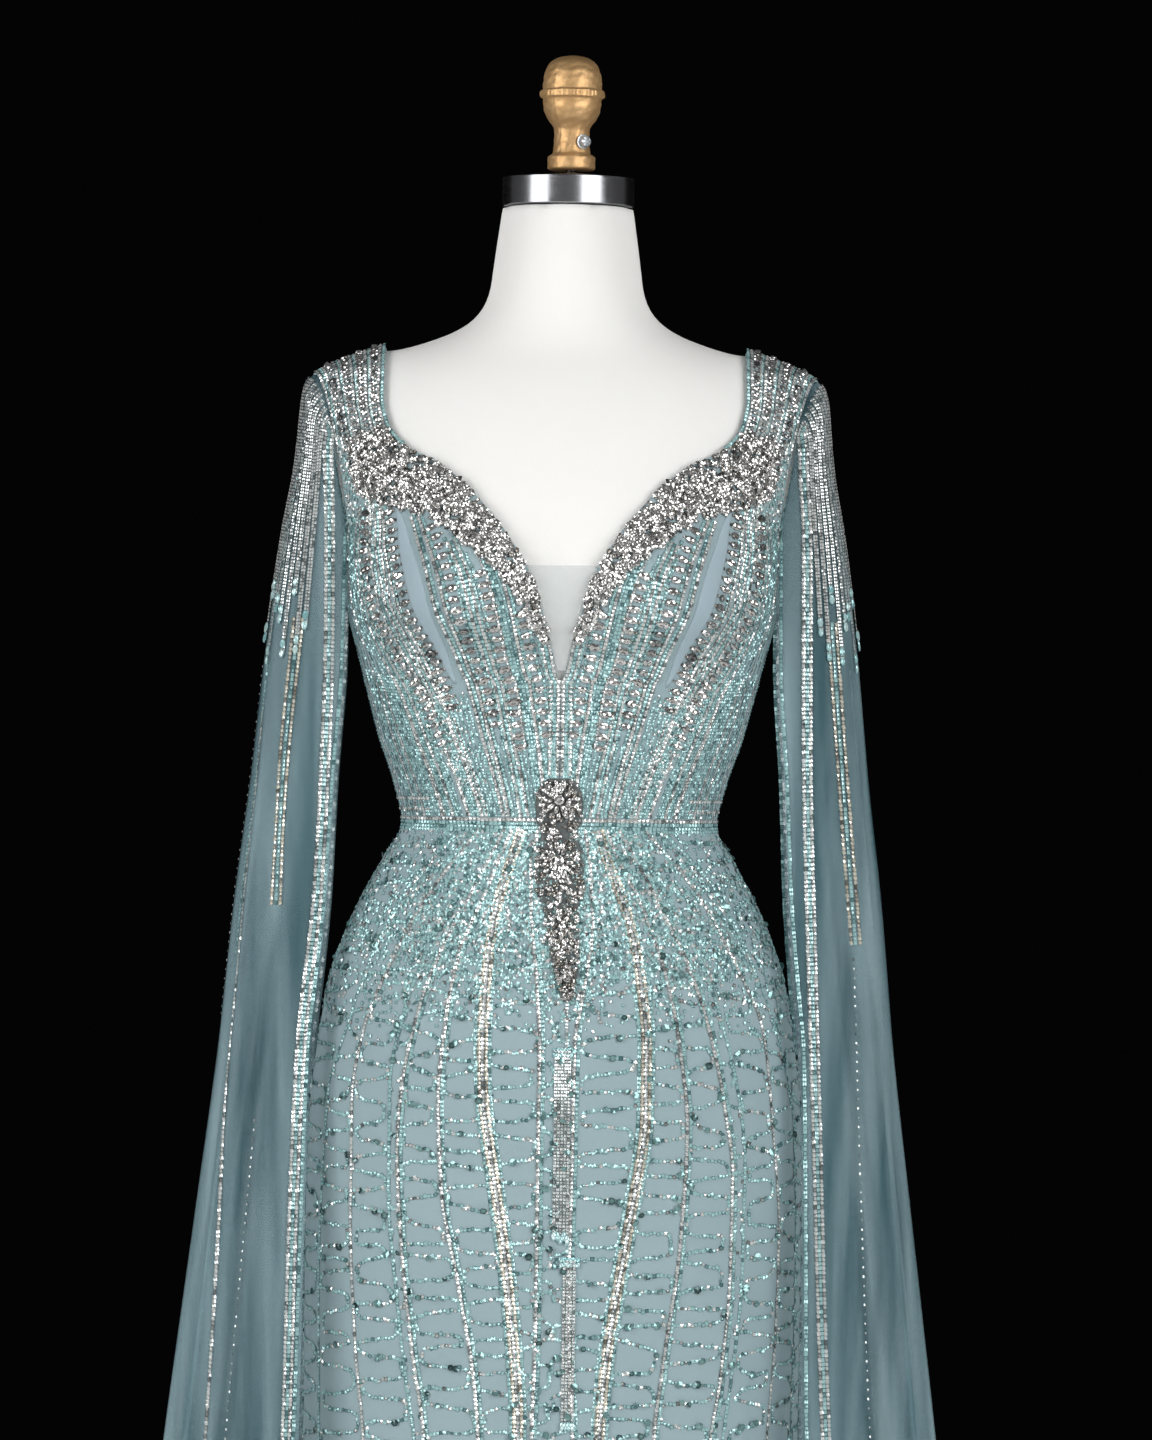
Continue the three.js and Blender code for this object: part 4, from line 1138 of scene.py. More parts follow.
    def scatter(self, pile: BeadPile, first: Array, last: Array, heights: Array) -> None:
        """Covers the hips between two lines with single seeds that thin out downwards.

        Args:
            pile: the beads are added to it.
            first: angle of the line on one side at each height.
            last: angle of the line on the other side.
            heights: the heights.
        """
        gown, random = self.gown, pile.random
        tries = 1100
        h = gown.waist - 3 - 170 * random.uniform(0, 1, tries) ** 0.8
        share = random.uniform(0.04, 0.96, tries)
        low, high = np.interp(-h, -heights, first), np.interp(-h, -heights, last)
        wide = np.abs(high - low) * gown.body.wide(h)
        thin = 1 - ease((gown.waist - 50 - h) / 120)
        kept = random.uniform(0, 1, tries) < np.clip(wide / 40, 0, 1) * thin
        h, theta = h[kept], mix(low, high, share)[kept]
        points, out = gown.on_skirt(theta, h)
        along = unit(np.cross(out, np.stack([np.cos(theta), np.sin(theta), np.zeros(len(theta))], axis=-1)))
        places = Places(points, along, out).turned(random.uniform(-0.7, 0.7, len(h)))
        silver = random.uniform(0, 1, len(h)) < 0.2
        pile.add(Bead.SEED, Finishes.aqua, places.pick(~silver).lifted(0.5), (1.9, 1.6, 2.0), 0.3)
        pile.add(Bead.SEED, Finishes.silver, places.pick(silver).lifted(0.5), (1.8, 1.6, 2.0), 0.3)

    def build(self) -> list[bpy.types.Object]:
        """Makes the three panels and their beads.

        Returns:
            Every object made.
        """
        made = []
        panels = {
            "skirt_front": (-QUARTER, QUARTER, 76, [(1, False), (-1, False)]),
            "skirt_back_left": (QUARTER, math.pi, 38, [(1, True)]),
            "skirt_back_right": (math.pi, 3 * QUARTER, 38, [(-1, True)]),
        }
        for seed, (name, (start, end, columns, quarters)) in enumerate(panels.items()):
            panel = self.panel(start, end, columns).piece(f"{name}_cloth", Finishes.georgette)
            beads = []
            for side, behind in quarters:
                word = "left" if side > 0 else "right"
                for part, pile in zip(("lines", "loops"), self.beads(side, behind, 10 * seed + side + 3)):
                    beads.append(pile.piece(f"{name}_{word}_{part}"))
            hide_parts(name)
            made += [panel, *beads]
        return made


@dataclass
class Bodice:
    """The bodice's fronts and backs, the net at the neck and the beads on them."""

    gown: Gown
    neckline: Curve = Curve(
        (1060, 0), (1168, 0), (1172, 2.6), (1189, 6.5), (1215, 13.6), (1246, 24), (1274, 40), (1297, 58), (1318, 81),
        (1331, 103), (1341, 122), (1356, 132), (1380, 136.5), (1460, 137),
    )
    back_neckline: Curve = Curve(
        (1060, 0), (1300, 0), (1303, 30), (1312, 62), (1330, 92), (1360, 118), (1400, 132), (1460, 137)
    )
    armhole: Curve = Curve(
        (1060, 90), (1266, 90), (1273, 84), (1290, 79.5), (1330, 77), (1370, 77.5), (1420, 79.5), (1460, 82)
    )
    stone_rows: tuple[Curve, ...] = (
        Curve((1060, 0), (1460, 0)),
        Curve(
            (1060, 0.05), (1120, 0.07), (1155, 0.103), (1190, 0.119), (1225, 0.11), (1260, 0.1),
            (1290, 0.12), (1330, 0.16), (1460, 0.166)),
        Curve(
            (1060, 0.153), (1120, 0.22), (1155, 0.247), (1190, 0.27), (1225, 0.267), (1260, 0.272),
            (1290, 0.28), (1330, 0.32), (1460, 0.333)),
        Curve(
            (1060, 0.27), (1120, 0.33), (1155, 0.37), (1190, 0.408), (1225, 0.43), (1260, 0.43),
            (1290, 0.45), (1330, 0.49), (1460, 0.5)),
        Curve(
            (1060, 0.44), (1120, 0.54), (1155, 0.58), (1190, 0.617), (1225, 0.685), (1260, 0.7),
            (1290, 0.69), (1330, 0.66), (1460, 0.667)),
        Curve(
            (1060, 0.56), (1120, 0.65), (1155, 0.71), (1190, 0.8), (1225, 0.856), (1260, 0.865),
            (1290, 0.85), (1330, 0.83), (1460, 0.833)),
        Curve((1060, 1), (1460, 1)),
    )
    stone_spans: tuple[tuple[float, float], ...] = (
        (1128, 1222), (1118, 1250), (1134, 1284), (1142, 1296), (1117, 1296))
    band_edge: Curve = Curve(
        (1197, 13), (1208, 21), (1222, 30), (1236, 39), (1250, 51), (1265, 67), (1280, 86), (1292, 108), (1301, 142),
        (1312, 154), (1326, 157), (1340, 158), (1352, 154),
    )

    def side_turn(self, h: Array) -> Array:
        """Angle of the side seam, and of the armhole above it."""
        return np.radians(self.armhole(h))

    def share_at(self, row: Array | float, h: Array) -> Array:
        """Share of the way from the neckline to the side at a row number.

        Args:
            row: 0 at the neckline, 1 to 5 at the rows of stones, 6 at the side.
            h: way up the body.

        Returns:
            The two nearest rows' shares mixed.
        """
        shares = np.stack([curve(h) for curve in self.stone_rows])
        row = np.broadcast_to(np.clip(row, 0, 6), np.shape(h))
        low = np.minimum(row.astype(int), 5)
        flat = np.arange(len(np.ravel(h)))
        shares = shares.reshape(7, -1)
        below, above = shares[low.ravel(), flat], shares[low.ravel() + 1, flat]
        return mix(below, above, (row - low).ravel()).reshape(np.shape(h))

    def front_turn(self, row: Array | float, h: Array) -> Array:
        """Angle of a row number on the left front.

        Args:
            row: row number, as in share_at.
            h: way up the body.

        Returns:
            The angle where x is the row's share of the way from the neckline to the side.
        """
        edge = self.neckline(h)
        side = self.gown.body.point(self.side_turn(h), h)[..., 0]
        return self.gown.body.front_angle(mix(edge, side, self.share_at(row, h)), h)

    def front(self, side: int) -> Shape:
        """One front, parted from its neighbours by half a seam.

        Args:
            side: 1 for the wearer's left.

        Returns:
            The wall between its outer and inner face.
        """
        gown, body = self.gown, self.gown.body
        inset = gown.seam / 2
        levels = np.linspace(gown.waist + inset, body.ridge - 0.2, 88)
        edge = body.front_angle(np.maximum(self.neckline(levels), inset), levels)
        seam = self.side_turn(levels) - inset / 116
        share = np.linspace(0, 1, 45)
        even = mix(even_turn(edge)[:, None], even_turn(seam)[:, None], share)
        return self._wall(turn_of(even), levels, side)

    def back(self, side: int) -> Shape:
        """One back, from the side seam to the centre back.

        Args:
            side: 1 for the wearer's left.

        Returns:
            The wall between its outer and inner face.
        """
        gown, body = self.gown, self.gown.body
        inset = gown.seam / 2
        levels = np.linspace(gown.waist + inset, body.ridge - 0.2, 80)
        edge = body.back_angle(np.maximum(self.back_neckline(levels), inset), levels)
        seam = math.pi - self.side_turn(levels) + inset / 116
        share = np.linspace(0, 1, 37)
        even = mix(even_turn(seam)[:, None], even_turn(edge)[:, None], share)
        return self._wall(turn_of(even), levels, side)

    def _wall(self, theta: Array, levels: Array, side: int) -> Shape:
        """Wall over a grid of angles of the left side.

        Args:
            theta: angles, level by level.
            levels: heights of the rows.
            side: -1 mirrors it.

        Returns:
            The wall between the gown's inside and outside.
        """
        gown = self.gown
        h = np.broadcast_to(levels[:, None], theta.shape)
        outer = gown.body.cloth(theta, h, gown.outside)
        return sided_shell(outer, gown.body.cloth(theta, h, gown.inside), side)

    def insert(self) -> Shape:
        """The net between the edges of the neckline.

        Returns:
            A thin wall, wide as the neckline at each height.
        """
        body = self.gown.body
        levels = np.linspace(1176, 1254, 30)
        reach = body.front_angle(self.neckline(levels) - 0.6, levels)
        theta = reach[:, None] * np.linspace(-1, 1, 25)
        h = np.broadcast_to(levels[:, None], theta.shape)
        return shell(body.cloth(theta, h, 2.4), body.cloth(theta, h, 1.8))

    def strip(self, side: int) -> Shape:
        """The bare satin strip beside the fourth row of stones.

        Args:
            side: 1 for the wearer's left.

        Returns:
            A long lens laid on the cloth, its crown the root of a sine across it.
        """
        levels = np.linspace(1166, 1300, 40)
        middle = np.sin(math.pi * np.linspace(0.02, 0.98, 40)) ** 0.6
        low = self.front_turn(3.74 - 0.2 * middle, levels)
        high = self.front_turn(3.74 + 0.15 * middle, levels)
        theta = mix(low[:, None], high[:, None], np.linspace(0, 1, 9))
        h = np.broadcast_to(levels[:, None], theta.shape)
        crown = 0.5 * np.sin(math.pi * np.linspace(0, 1, 9)) ** 0.5
        body = self.gown.body
        outer = body.cloth(theta, h, self.gown.outside + 0.25 + crown)
        return sided_shell(outer, body.cloth(theta, h, self.gown.outside + 0.05), side)

    def line(self, pile: BeadPile, row: float, low: float, high: float, kind: LineKind) -> None:
        """Sews one line of seeds along a row number of the left front."""
        h = np.linspace(low, high, 160)
        string_line(pile, *self.gown.on_bodice(self.front_turn(row, h), h), kind)

    def edge_line(self, pile: BeadPile, aside: float, low: float, high: float, kind: LineKind) -> None:
        """Sews one line of seeds along the neckline and down the centre.

        Args:
            pile: the beads are added to it.
            aside: its distance from the neckline.
            low: height where it starts.
            high: height where it ends.
            kind: how it is strung.
        """
        h = np.linspace(low, high, 160)
        turn = self.gown.body.front_angle(self.neckline(h) + aside, h)
        string_line(pile, *self.gown.on_bodice(turn, h), kind)

    def streaks(self, pile: BeadPile, rows: Array, low: float, high: float, silver: int) -> None:
        """Fills a field of the left front with close lines of small aqua seeds.

        Args:
            pile: the beads are added to it.
            rows: row numbers of the lines.
            low: height where they start.
            high: height where they end.
            silver: every so many lines one is silver.
        """
        for k, row in enumerate(rows):
            h = np.linspace(low, high, 120)
            places = strung(*self.gown.on_bodice(self.front_turn(float(row), h), h), 2.5)
            places = places.lifted(0.4, pile.random.uniform(-0.4, 0.4, len(places.points)))
            finish = Finishes.silver if k % silver == silver - 1 else Finishes.aqua
            pile.add(Bead.SEED, finish, places, (1.6, 1.4, 1.5), 0.16)

    def stones(self, pile: BeadPile) -> None:
        """Sets the five rows of oval stones crosswise, each between two small chips.

        Args:
            pile: the stones are added to it.
        """
        for row, (low, high) in enumerate(self.stone_spans, start=1):
            h = np.linspace(high, low, 200)
            path, out = self.gown.on_bodice(self.front_turn(float(row), h), h)
            places = strung(path, out, 8.6 if row < 4 else 7.2)
            lean = pile.random.normal(0, 0.16, (2, len(places.points), 1))
            across = np.cross(places.out, places.along)
            stones = Places(
                places.points, places.along, unit(places.out + places.along * lean[0] + across * lean[1]))
            stones.along = square_to(stones.along, stones.out)
            pile.add(Bead.STONE, Finishes.crystal, stones.lifted(0.7), (3.2, 4.8, 2.5), 0.1)
            for aside in (-5.5, 5.5):
                pile.add(Bead.CHIP, Finishes.setting, places.lifted(0.4, aside), (1.3, 1.2, 1.5), 0.2)

    def glitter(
        self, pile: BeadPile, rows: tuple[float, float], span: tuple[float, float], amount: int,
        silver: float) -> None:
        """Covers a field of the front with single seeds.

        Args:
            pile: the beads are added to it.
            rows: row numbers that the field lies between.
            span: heights that it lies between.
            amount: how many seeds.
            silver: share of silver ones.
        """
        random = pile.random
        h = random.uniform(*span, amount)
        row = random.uniform(*rows, amount)
        theta = self.front_turn(row, h)
        kept = theta < self.side_turn(h) - 0.012
        h, theta = h[kept], theta[kept]
        points, out = self.gown.on_bodice(theta, h)
        along = unit(np.cross(out, np.stack([np.cos(theta), np.sin(theta), 0.25 + 0 * theta], axis=-1)))
        places = Places(points, along, out).turned(random.uniform(-0.5, 0.5, len(h)))
        bright = random.uniform(0, 1, len(h)) < silver
        pile.add(Bead.SEED, Finishes.aqua, places.pick(~bright).lifted(0.4), (1.5, 1.2, 1.3), 0.3)
        pile.add(Bead.SEED, Finishes.silver, places.pick(bright).lifted(0.5), (1.5, 1.3, 1.4), 0.3)

    def band(self, pile: BeadPile) -> None:
        """Crowds crystals of mixed sizes over the jewelled band along the neckline.

        Args:
            pile: the crystals are added to it.
        """
        random = pile.random
        levels = np.linspace(1197, 1352, 3000)
        weight = np.maximum(self.band_edge(levels) - self.neckline(levels), 1)
        h = random.choice(levels, 1500, p=weight / weight.sum())
        x = mix(self.neckline(h) + 0.8, self.band_edge(h), random.uniform(0, 1, len(h)))
        theta = self.gown.body.front_angle(x, h)
        kept = theta < self.side_turn(h)
        h, theta = h[kept], theta[kept]
        points, out = self.gown.on_bodice(theta, h)
        lean = unit(out + 0.32 * random.normal(0, 1, out.shape))
        along = unit(np.cross(lean, random.normal(0, 1, out.shape)))
        places = Places(points, along, lean).lifted(random.uniform(0.2, 1.6, len(h)))
        kind = random.choice(3, len(h), p=(0.28, 0.36, 0.36))
        pile.add(Bead.CHIP, Finishes.setting, places.pick(kind == 0), (2.1, 1.8, 1.9), 0.3)
        pile.add(Bead.CHIP, Finishes.crystal, places.pick(kind == 1).lifted(0.7), (2.5, 2.0, 1.9), 0.3)
        pile.add(Bead.STONE, Finishes.crystal, places.pick(kind == 2).lifted(1.0), (3.1, 2.6, 2.4), 0.25)

    def strap(self, pile: BeadPile) -> None:
        """Runs upright rows of seeds and stones over the strap, from the band to the shoulder.

        Args:
            pile: the beads are added to it.
        """
        body = self.gown.body
        h = np.linspace(1338, 1457, 150)
        inner, outer = self.neckline(h) + 2.2, body.point(self.side_turn(h), h)[:, 0] - 1.5
        for k, share in enumerate(np.linspace(0, 1, 13)):
            theta = body.front_angle(mix(inner, outer, share), h)
            path, out = self.gown.on_bodice(theta, h)
            if k % 3 == 1:
                places = strung(path, out, 5.4)
                lean = unit(places.out + 0.2 * pile.random.normal(0, 1, places.out.shape))
                stones = Places(places.points, square_to(places.along, lean), lean).lifted(0.8)
                pile.add(Bead.STONE, Finishes.crystal, stones, (2.4, 2.9, 2.2), 0.2)
            else:
                string_line(pile, path, out, LineKind.SILVER if k % 3 else LineKind.PAIR)

    def front_beads(self, seed: int) -> BeadPile:
        """All the beads of the left front.

        Args:
            seed: fixes what varies.

        Returns:
            The pile, which the right front uses mirrored.
        """
        pile = BeadPile(seed)
        low = self.gown.waist + 6.5
        for lift, kind in ((1.7, LineKind.AQUA), (4.6, LineKind.SILVER)):
            theta = np.linspace(0.01, QUARTER - 0.004, 220)
            string_line(pile, *self.gown.on_bodice(theta, np.full(220, self.gown.waist + lift)), kind)
        for aside, bottom, top, kind in (
            (1.7, 1098, 1206, LineKind.SILVER), (7.3, 1098, 1212, LineKind.SILVER),
            (4.5, 1098, 1204, LineKind.AQUA)):
            self.edge_line(pile, aside, bottom, top, kind)
        for row, bottom, top, kind in (
            (0.5, low, 1202, LineKind.AQUA), (
                0.76, low, 1208, LineKind.AQUA), (1.34, low, 1252, LineKind.PAIR),
            (1.58, low, 1262, LineKind.AQUA), (1.7, low, 1266, LineKind.AQUA), (2.32, low, 1276, LineKind.AQUA), (
                2.5, low, 1270, LineKind.DOUBLE),
            (2.7, low, 1274, LineKind.AQUA), (
                3.22, low, 1288, LineKind.PAIR), (3.42, low, 1290, LineKind.PAIR),
            (
                4.0, low, 1140, LineKind.SILVER,
            ), (4.3, low, 1140, LineKind.PAIR), (4.26, 1145, 1300, LineKind.PAIR),
            (
                4.5, 1150, 1300, LineKind.DOUBLE,
            ), (4.78, 1140, 1298, LineKind.PAIR), (5.0, low, 1116, LineKind.SILVER),
            (5.22, low, 1296, LineKind.PAIR),
        ):
            self.line(pile, row, bottom, top, kind)
        self.stones(pile)
        self.glitter(pile, (4.12, 4.92), (1150, 1300), 420, 0.6)
        self.glitter(pile, (3.6, 5.2), (1090, 1165), 260, 0.5)
        self.streaks(pile, np.linspace(0.5, 3.5, 16), low, 1122, 5)
        self.streaks(pile, np.linspace(3.56, 4.96, 12), low, 1158, 6)
        self.streaks(pile, np.linspace(5.1, 5.96, 13), low, 1290, 5)
        self.streaks(pile, np.linspace(5.136, 5.93, 12), low, 1172, 4)
        self.streaks(pile, np.array([1.22, 1.46, 1.82, 2.18, 2.82]), 1120, 1262, 3)
        self.glitter(pile, (4.6, 6.0), (1284, 1352), 520, 0.5)
        self.band(pile)
        self.strap(pile)
        for height in (1072, 1080):
            theta = np.linspace(1.02, QUARTER - 0.04, 60)
            string_line(pile, *self.gown.on_bodice(theta, np.full(60, float(height))), LineKind.SILVER)
        return pile

    def back_beads(self, seed: int) -> BeadPile:
        """All the beads of the left back: fans of lines from the waist and seeds between them.

        Args:
            seed: fixes what varies.

        Returns:
            The pile, which the right back uses mirrored.
        """
        pile, body = BeadPile(seed), self.gown.body
        random = pile.random
        for lift, kind in ((1.7, LineKind.AQUA), (4.6, LineKind.SILVER)):
            theta = np.linspace(QUARTER + 0.004, math.pi - 0.01, 220)
            string_line(pile, *self.gown.on_bodice(theta, np.full(220, self.gown.waist + lift)), kind)
        for k, share in enumerate(np.linspace(0.02, 0.985, 37)):
            top = 1290 if share < 0.3 else 1444
            bottom = self.gown.waist + (7 if k % 2 == 0 else 44)
            h = np.linspace(bottom, top, 240)
            edge = body.back_angle(np.maximum(self.back_neckline(h), 3.5), h)
            theta = mix(edge, math.pi - self.side_turn(h), share)
            places = strung(*self.gown.on_bodice(theta, h), 2.7)
            places = places.lifted(0.4, random.uniform(-0.5, 0.5, len(places.points)))
            finish = Finishes.silver if k % 4 == 1 else Finishes.aqua
            pile.add(Bead.SEED, finish, places, (1.6, 1.3, 1.35), 0.2)
        amount = 1300
        h = random.uniform(self.gown.waist + 3, 1452, amount)
        share = random.uniform(0.02, 0.98, amount)
        edge = body.back_angle(np.maximum(self.back_neckline(h), 3), h)
        theta = mix(edge, math.pi - self.side_turn(h), share)
        points, out = self.gown.on_bodice(theta, h)
        along = unit(np.cross(out, np.stack([np.cos(theta), np.sin(theta), 0.2 + 0 * theta], axis=-1)))
        pile.add(Bead.SEED, Finishes.silver, Places(points, along, out).lifted(0.5), (1.6, 1.3, 1.35), 0.3)
        h = np.linspace(1302, 1452, 200)
        for lift, aside in ((1.2, 2.5), (1.6, 6.5)):
            theta = body.back_angle(self.back_neckline(h) + aside, h)
            places = strung(*self.gown.on_bodice(theta, h), 4.2)
            pile.add(Bead.STONE, Finishes.crystal, places.lifted(lift / 2), (2.0, 2.2, 2.2), 0.3)
        return pile

    @staticmethod
    def mirrored(pile: BeadPile) -> BeadPile:
        """The same beads on the other side.

        Args:
            pile: the beads of the left side.

        Returns:
            The pile, mirrored, with its faces turned right way out.
        """
        pile.points = [points * (-1, 1, 1) for points in pile.points]
        pile.tris = [tris[:, ::-1] for tris in pile.tris]
        return pile

    def build(self) -> list[bpy.types.Object]:
        """Makes the fronts, the backs, the net and their beads.

        Returns:
            Every object made.
        """
        made = []
        for word, side in (("left", 1), ("right", -1)):
            for part, wall, beads, cut, area in (
                ("front", self.front(side), self.front_beads(31), (0.24, 0.42), 0.052),
                ("back", self.back(side), self.back_beads(47), (0.24, 0.41), 0.062),
            ):
                name = f"bodice_{part}_{word}"
                panel = wall.piece(f"{name}_cloth", Finishes.georgette)
                pile = beads if side > 0 else self.mirrored(beads)
                trims = [pile.piece(f"{name}_beads")]
                if part == "front":
                    trims.append(self.strip(side).piece(f"{name}_strip", Finishes.plain_strip))
                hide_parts(name)
                made += [panel, *trims]
        net = self.insert().piece("neck_insert_net", Finishes.net)
        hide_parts("neck_insert")
        return [*made, net]


@dataclass
class CapeSleeve:
    """One cape sleeve of tulle, open towards the body, with its edge beads and shoulder fringe."""

    gown: Gown
    bodice: Bodice
    side: int
    hem: float = 45
    turn: float = math.radians(118)
    folds: int = 6
    wall: float = 0.8
    inner: Curve = Curve(
        (45, 246), (300, 214), (594, 191), (760, 188), (890, 185), (943, 179.5), (1003, 174), (1094, 169.5),
        (1185, 163.5), (1276, 163), (1336, 166), (1410, 170),
    )
    outer: Curve = Curve(
        (45, 350), (300, 321), (594, 286.5), (760, 267.5), (890, 253), (943, 248.5), (1003, 243), (1094, 232.5),
        (1185, 224), (1276, 212), (1336, 202), (1410, 196),
    )
    deep: Curve = Curve(
        (45, 128), (300, 112), (594, 94), (760, 80), (890, 66), (943, 61), (1003, 55), (1094, 48), (1185, 43.5),
        (1276, 40), (1336, 38), (1410, 34),
    )
    fold: Curve = Curve(
        (45, 12), (300, 9), (594, 6), (760, 4), (890, 2.8), (943, 2.2), (1003, 1.6), (1094, 1), (1185, 0.4),
        (1276, 0.2), (1336, 0), (1410, 0),
    )

    def seam(self, a: Array) -> Array:
        """Point of the shoulder seam, straight between the bodice's rows.

        Args:
            a: 0 at the front edge, 1 at the back edge.

        Returns:
            The point half way through the bodice's wall, just outside the armhole.
        """
        rows = np.array([1335, 1352, 1378, 1405, 1432, 1459.99])
        place = (1 - np.abs(2 * a - 1)) * (len(rows) - 1)
        low = np.minimum(place.astype(int), len(rows) - 2)
        turn = self.bodice.side_turn(rows) + 0.9 / 166
        fronts = self.gown.body.cloth(turn, rows, 2.2)
        backs = self.gown.body.cloth(math.pi - turn, rows, 2.2)
        share = (place - low)[..., None]
        return np.where(
            (a > 0.5)[..., None], mix(backs[low], backs[low + 1], share),
            mix(fronts[low], fronts[low + 1], share))

    def point(self, a: Array, t: Array) -> Array:
        """Point of the cape on the wearer's left.

        Args:
            a: 0 at the front edge, a half at the outer fold and 1 at the back edge.
            t: 0 at the shoulder seam and 1 at the hem.

        Returns:
            An arc round the arm with soft folds, held clear of the gown and drawn in to the seam.
        """
        a, t = np.broadcast_arrays(a, t)
        seam = self.seam(a)
        z = mix(seam[..., 2], self.hem, t)
        turn = mix(-self.turn, self.turn, a)
        inner, outer = self.inner(z), self.outer(z)
        half = (outer - inner) / (1 - math.cos(self.turn))
        fold = self.fold(z) * np.cos(2 * math.pi * self.folds * a)
        fold = fold + self.fold(z) * 0.16 * np.sin(2 * math.pi * (13 * a + 0.4 * np.sin(z / 160)) + z / 300)
        x = outer - half + (half + fold) * np.cos(turn)
        y = (self.deep(z) + fold) * np.sin(turn)
        free = (1 - np.exp(-(seam[..., 2] - z) / 6))[..., None]
        theta = np.arctan2(x, -y)
        body = self.gown.body
        widening = body.wide(np.maximum(z, body.chest)) / body.wide(body.chest)
        least = body.radius(theta, np.minimum(z, body.chest)) * widening + self.gown.outside + 2.5
        scale = np.maximum(1, least / np.hypot(x, y))
        hanging = stacked(x * scale, y * scale, z)
        point = mix(seam, hanging, free)
        point[..., 2] = z
        return point

    def normal(self, a: Array, t: Array) -> Array:
        """Way out of the cape, away from the arm.

        Args:
            a: share of the way round, as in point.
            t: share of the way down.

        Returns:
            The cross product of a small step down and a small step round, at length 1.
        """
        a, t = np.clip(a, 0.005, 0.995), np.clip(t, 0.0004, 0.999)
        across = self.point(a + 2e-3, t) - self.point(a - 2e-3, t)
        down = self.point(a, t + 2e-4) - self.point(a, t - 2e-4)
        return unit(np.cross(down, across))

    def placed(self, points: Array) -> Array:
        """The points on this cape's own side."""
        return points * (self.side, 1, 1)

    def cloth(self) -> Shape:
        """The cape's thin wall.

        Returns:
            The wall, its edges thickened to a narrow roll by bells across them.
        """
        t = np.concatenate([[0, 0.0015, 0.003, 0.0055, 0.008, 0.013], np.linspace(0.02, 1, 78)])
        share, down = np.meshgrid(np.linspace(0, 1, 69), t)
        middle, out = self.point(share, down), self.normal(share, down)
        edge = np.minimum(share, 1 - share) * 420
        roll = 0.35 * np.exp(-((edge / 2.2) ** 2)) + 0.3 * np.exp(-(((1 - down) * 1360 / 2.5) ** 2))
        half = (self.wall / 2 + roll)[..., None]
        return sided_shell((middle + out * half)[::-1], (middle - out * half)[::-1], self.side)

    def share_at(self, x: Array, z: Array) -> Array:
        """Share of the way round at which the front layer has that x.

        Args:
            x: place across the gown.
            z: height.

        Returns:
            The share by the arc's cosine, its folds left out.
        """
        inner, outer = self.inner(z), self.outer(z)
        half = (outer - inner) / (1 - math.cos(self.turn))
        return 0.5 - np.arccos(np.clip((x - outer + half) / half, -1, 1)) / (2 * self.turn)

    def line(
        self, pile: BeadPile, x: Curve | float, span: tuple[float, float], kind: LineKind,
        behind: bool = False) -> None:
        """Sews one line of beads down the cape.

        Args:
            pile: the beads are added to it.
            x: its x by height, or one distance from the front edge.
            span: heights of its upper and lower end.
            kind: how it is strung.
            behind: whether it runs down the back layer.
        """
        z = np.linspace(*span, 500)
        share = self.share_at(x(z) if isinstance(x, Curve) else self.inner(z) + x, z)
        share = np.clip(1 - share if behind else share, 0.014, 0.986)
        seam = self.seam(share)[:, 2]
        t = np.clip((seam - z) / (seam - self.hem), 0.004, 1)
        out = self.normal(share, t)
        path = self.point(share, t) + out * (self.wall / 2 + 0.1)
        string_line(pile, self.placed(path), self.placed(out), kind)

    def beads(self) -> BeadPile:
        """The beads along the cape's edges and down its outer fold.

        Returns:
            The pile.
        """
        pile = BeadPile(61 if self.side > 0 else 67)
        self.line(pile, 1.0, (1330, 52), LineKind.PAIR, behind=True)
        if self.side > 0:
            strand = Curve(
                (45, 262), (300, 236), (600, 205), (851, 195), (1109, 186), (1285, 183), (1335, 180),
                (1394, 184))
            self.line(pile, strand, (1400, 52), LineKind.DOUBLE)
            self.line(pile, 1.0, (1330, 52), LineKind.AQUA)
            self.line(pile, Curve((960, 226), (1098, 213), (1212, 203)), (1216, 975), LineKind.CHAIN)
            self.line(pile, Curve((300, 286), (615, 236), (966, 223)), (966, 300), LineKind.DOTS)
            self.line(
                pile, Curve((600, 262), (983, 238.4), (1108, 225.7), (1200, 216)), (1180, 983),
                LineKind.SILVER, behind=True)
            self.line(
                pile, Curve((45, 300), (600, 250), (900, 232), (1180, 212)), (960, 120), LineKind.DOTS,
                behind=True)
        else:
            strand = Curve(
                (45, 254), (300, 222), (594, 198), (760, 195), (890, 191), (1003, 181), (1094, 177), (1185, 175), (1285, 176),
                (1335, 178), (1394, 184),
            )
            self.line(pile, strand, (1400, 52), LineKind.DOUBLE)
            self.line(pile, 1.0, (1330, 52), LineKind.AQUA)
            self.line(pile, Curve((995, 211), (1094, 208), (1212, 198)), (1214, 996), LineKind.CHAIN)
            self.line(
                pile,
                Curve((940, 245), (1003, 239.5), (1094, 229), (1185, 220.5), (1276, 208.5), (1336, 198)),
                (1330, 960), LineKind.AQUA)
            self.line(
                pile, Curve((400, 274), (635, 257.7), (915, 240.5), (1180, 222)), (1150, 400),
                LineKind.SILVER)
            self.line(
                pile, Curve((300, 262), (608, 239.8), (825, 224), (1000, 212)), (840, 300), LineKind.DOTS)
            self.line(
                pile, Curve((300, 296), (678, 263.8), (975, 246.7), (1100, 232)), (1180, 400), LineKind.DOTS,
                behind=True)
        return pile

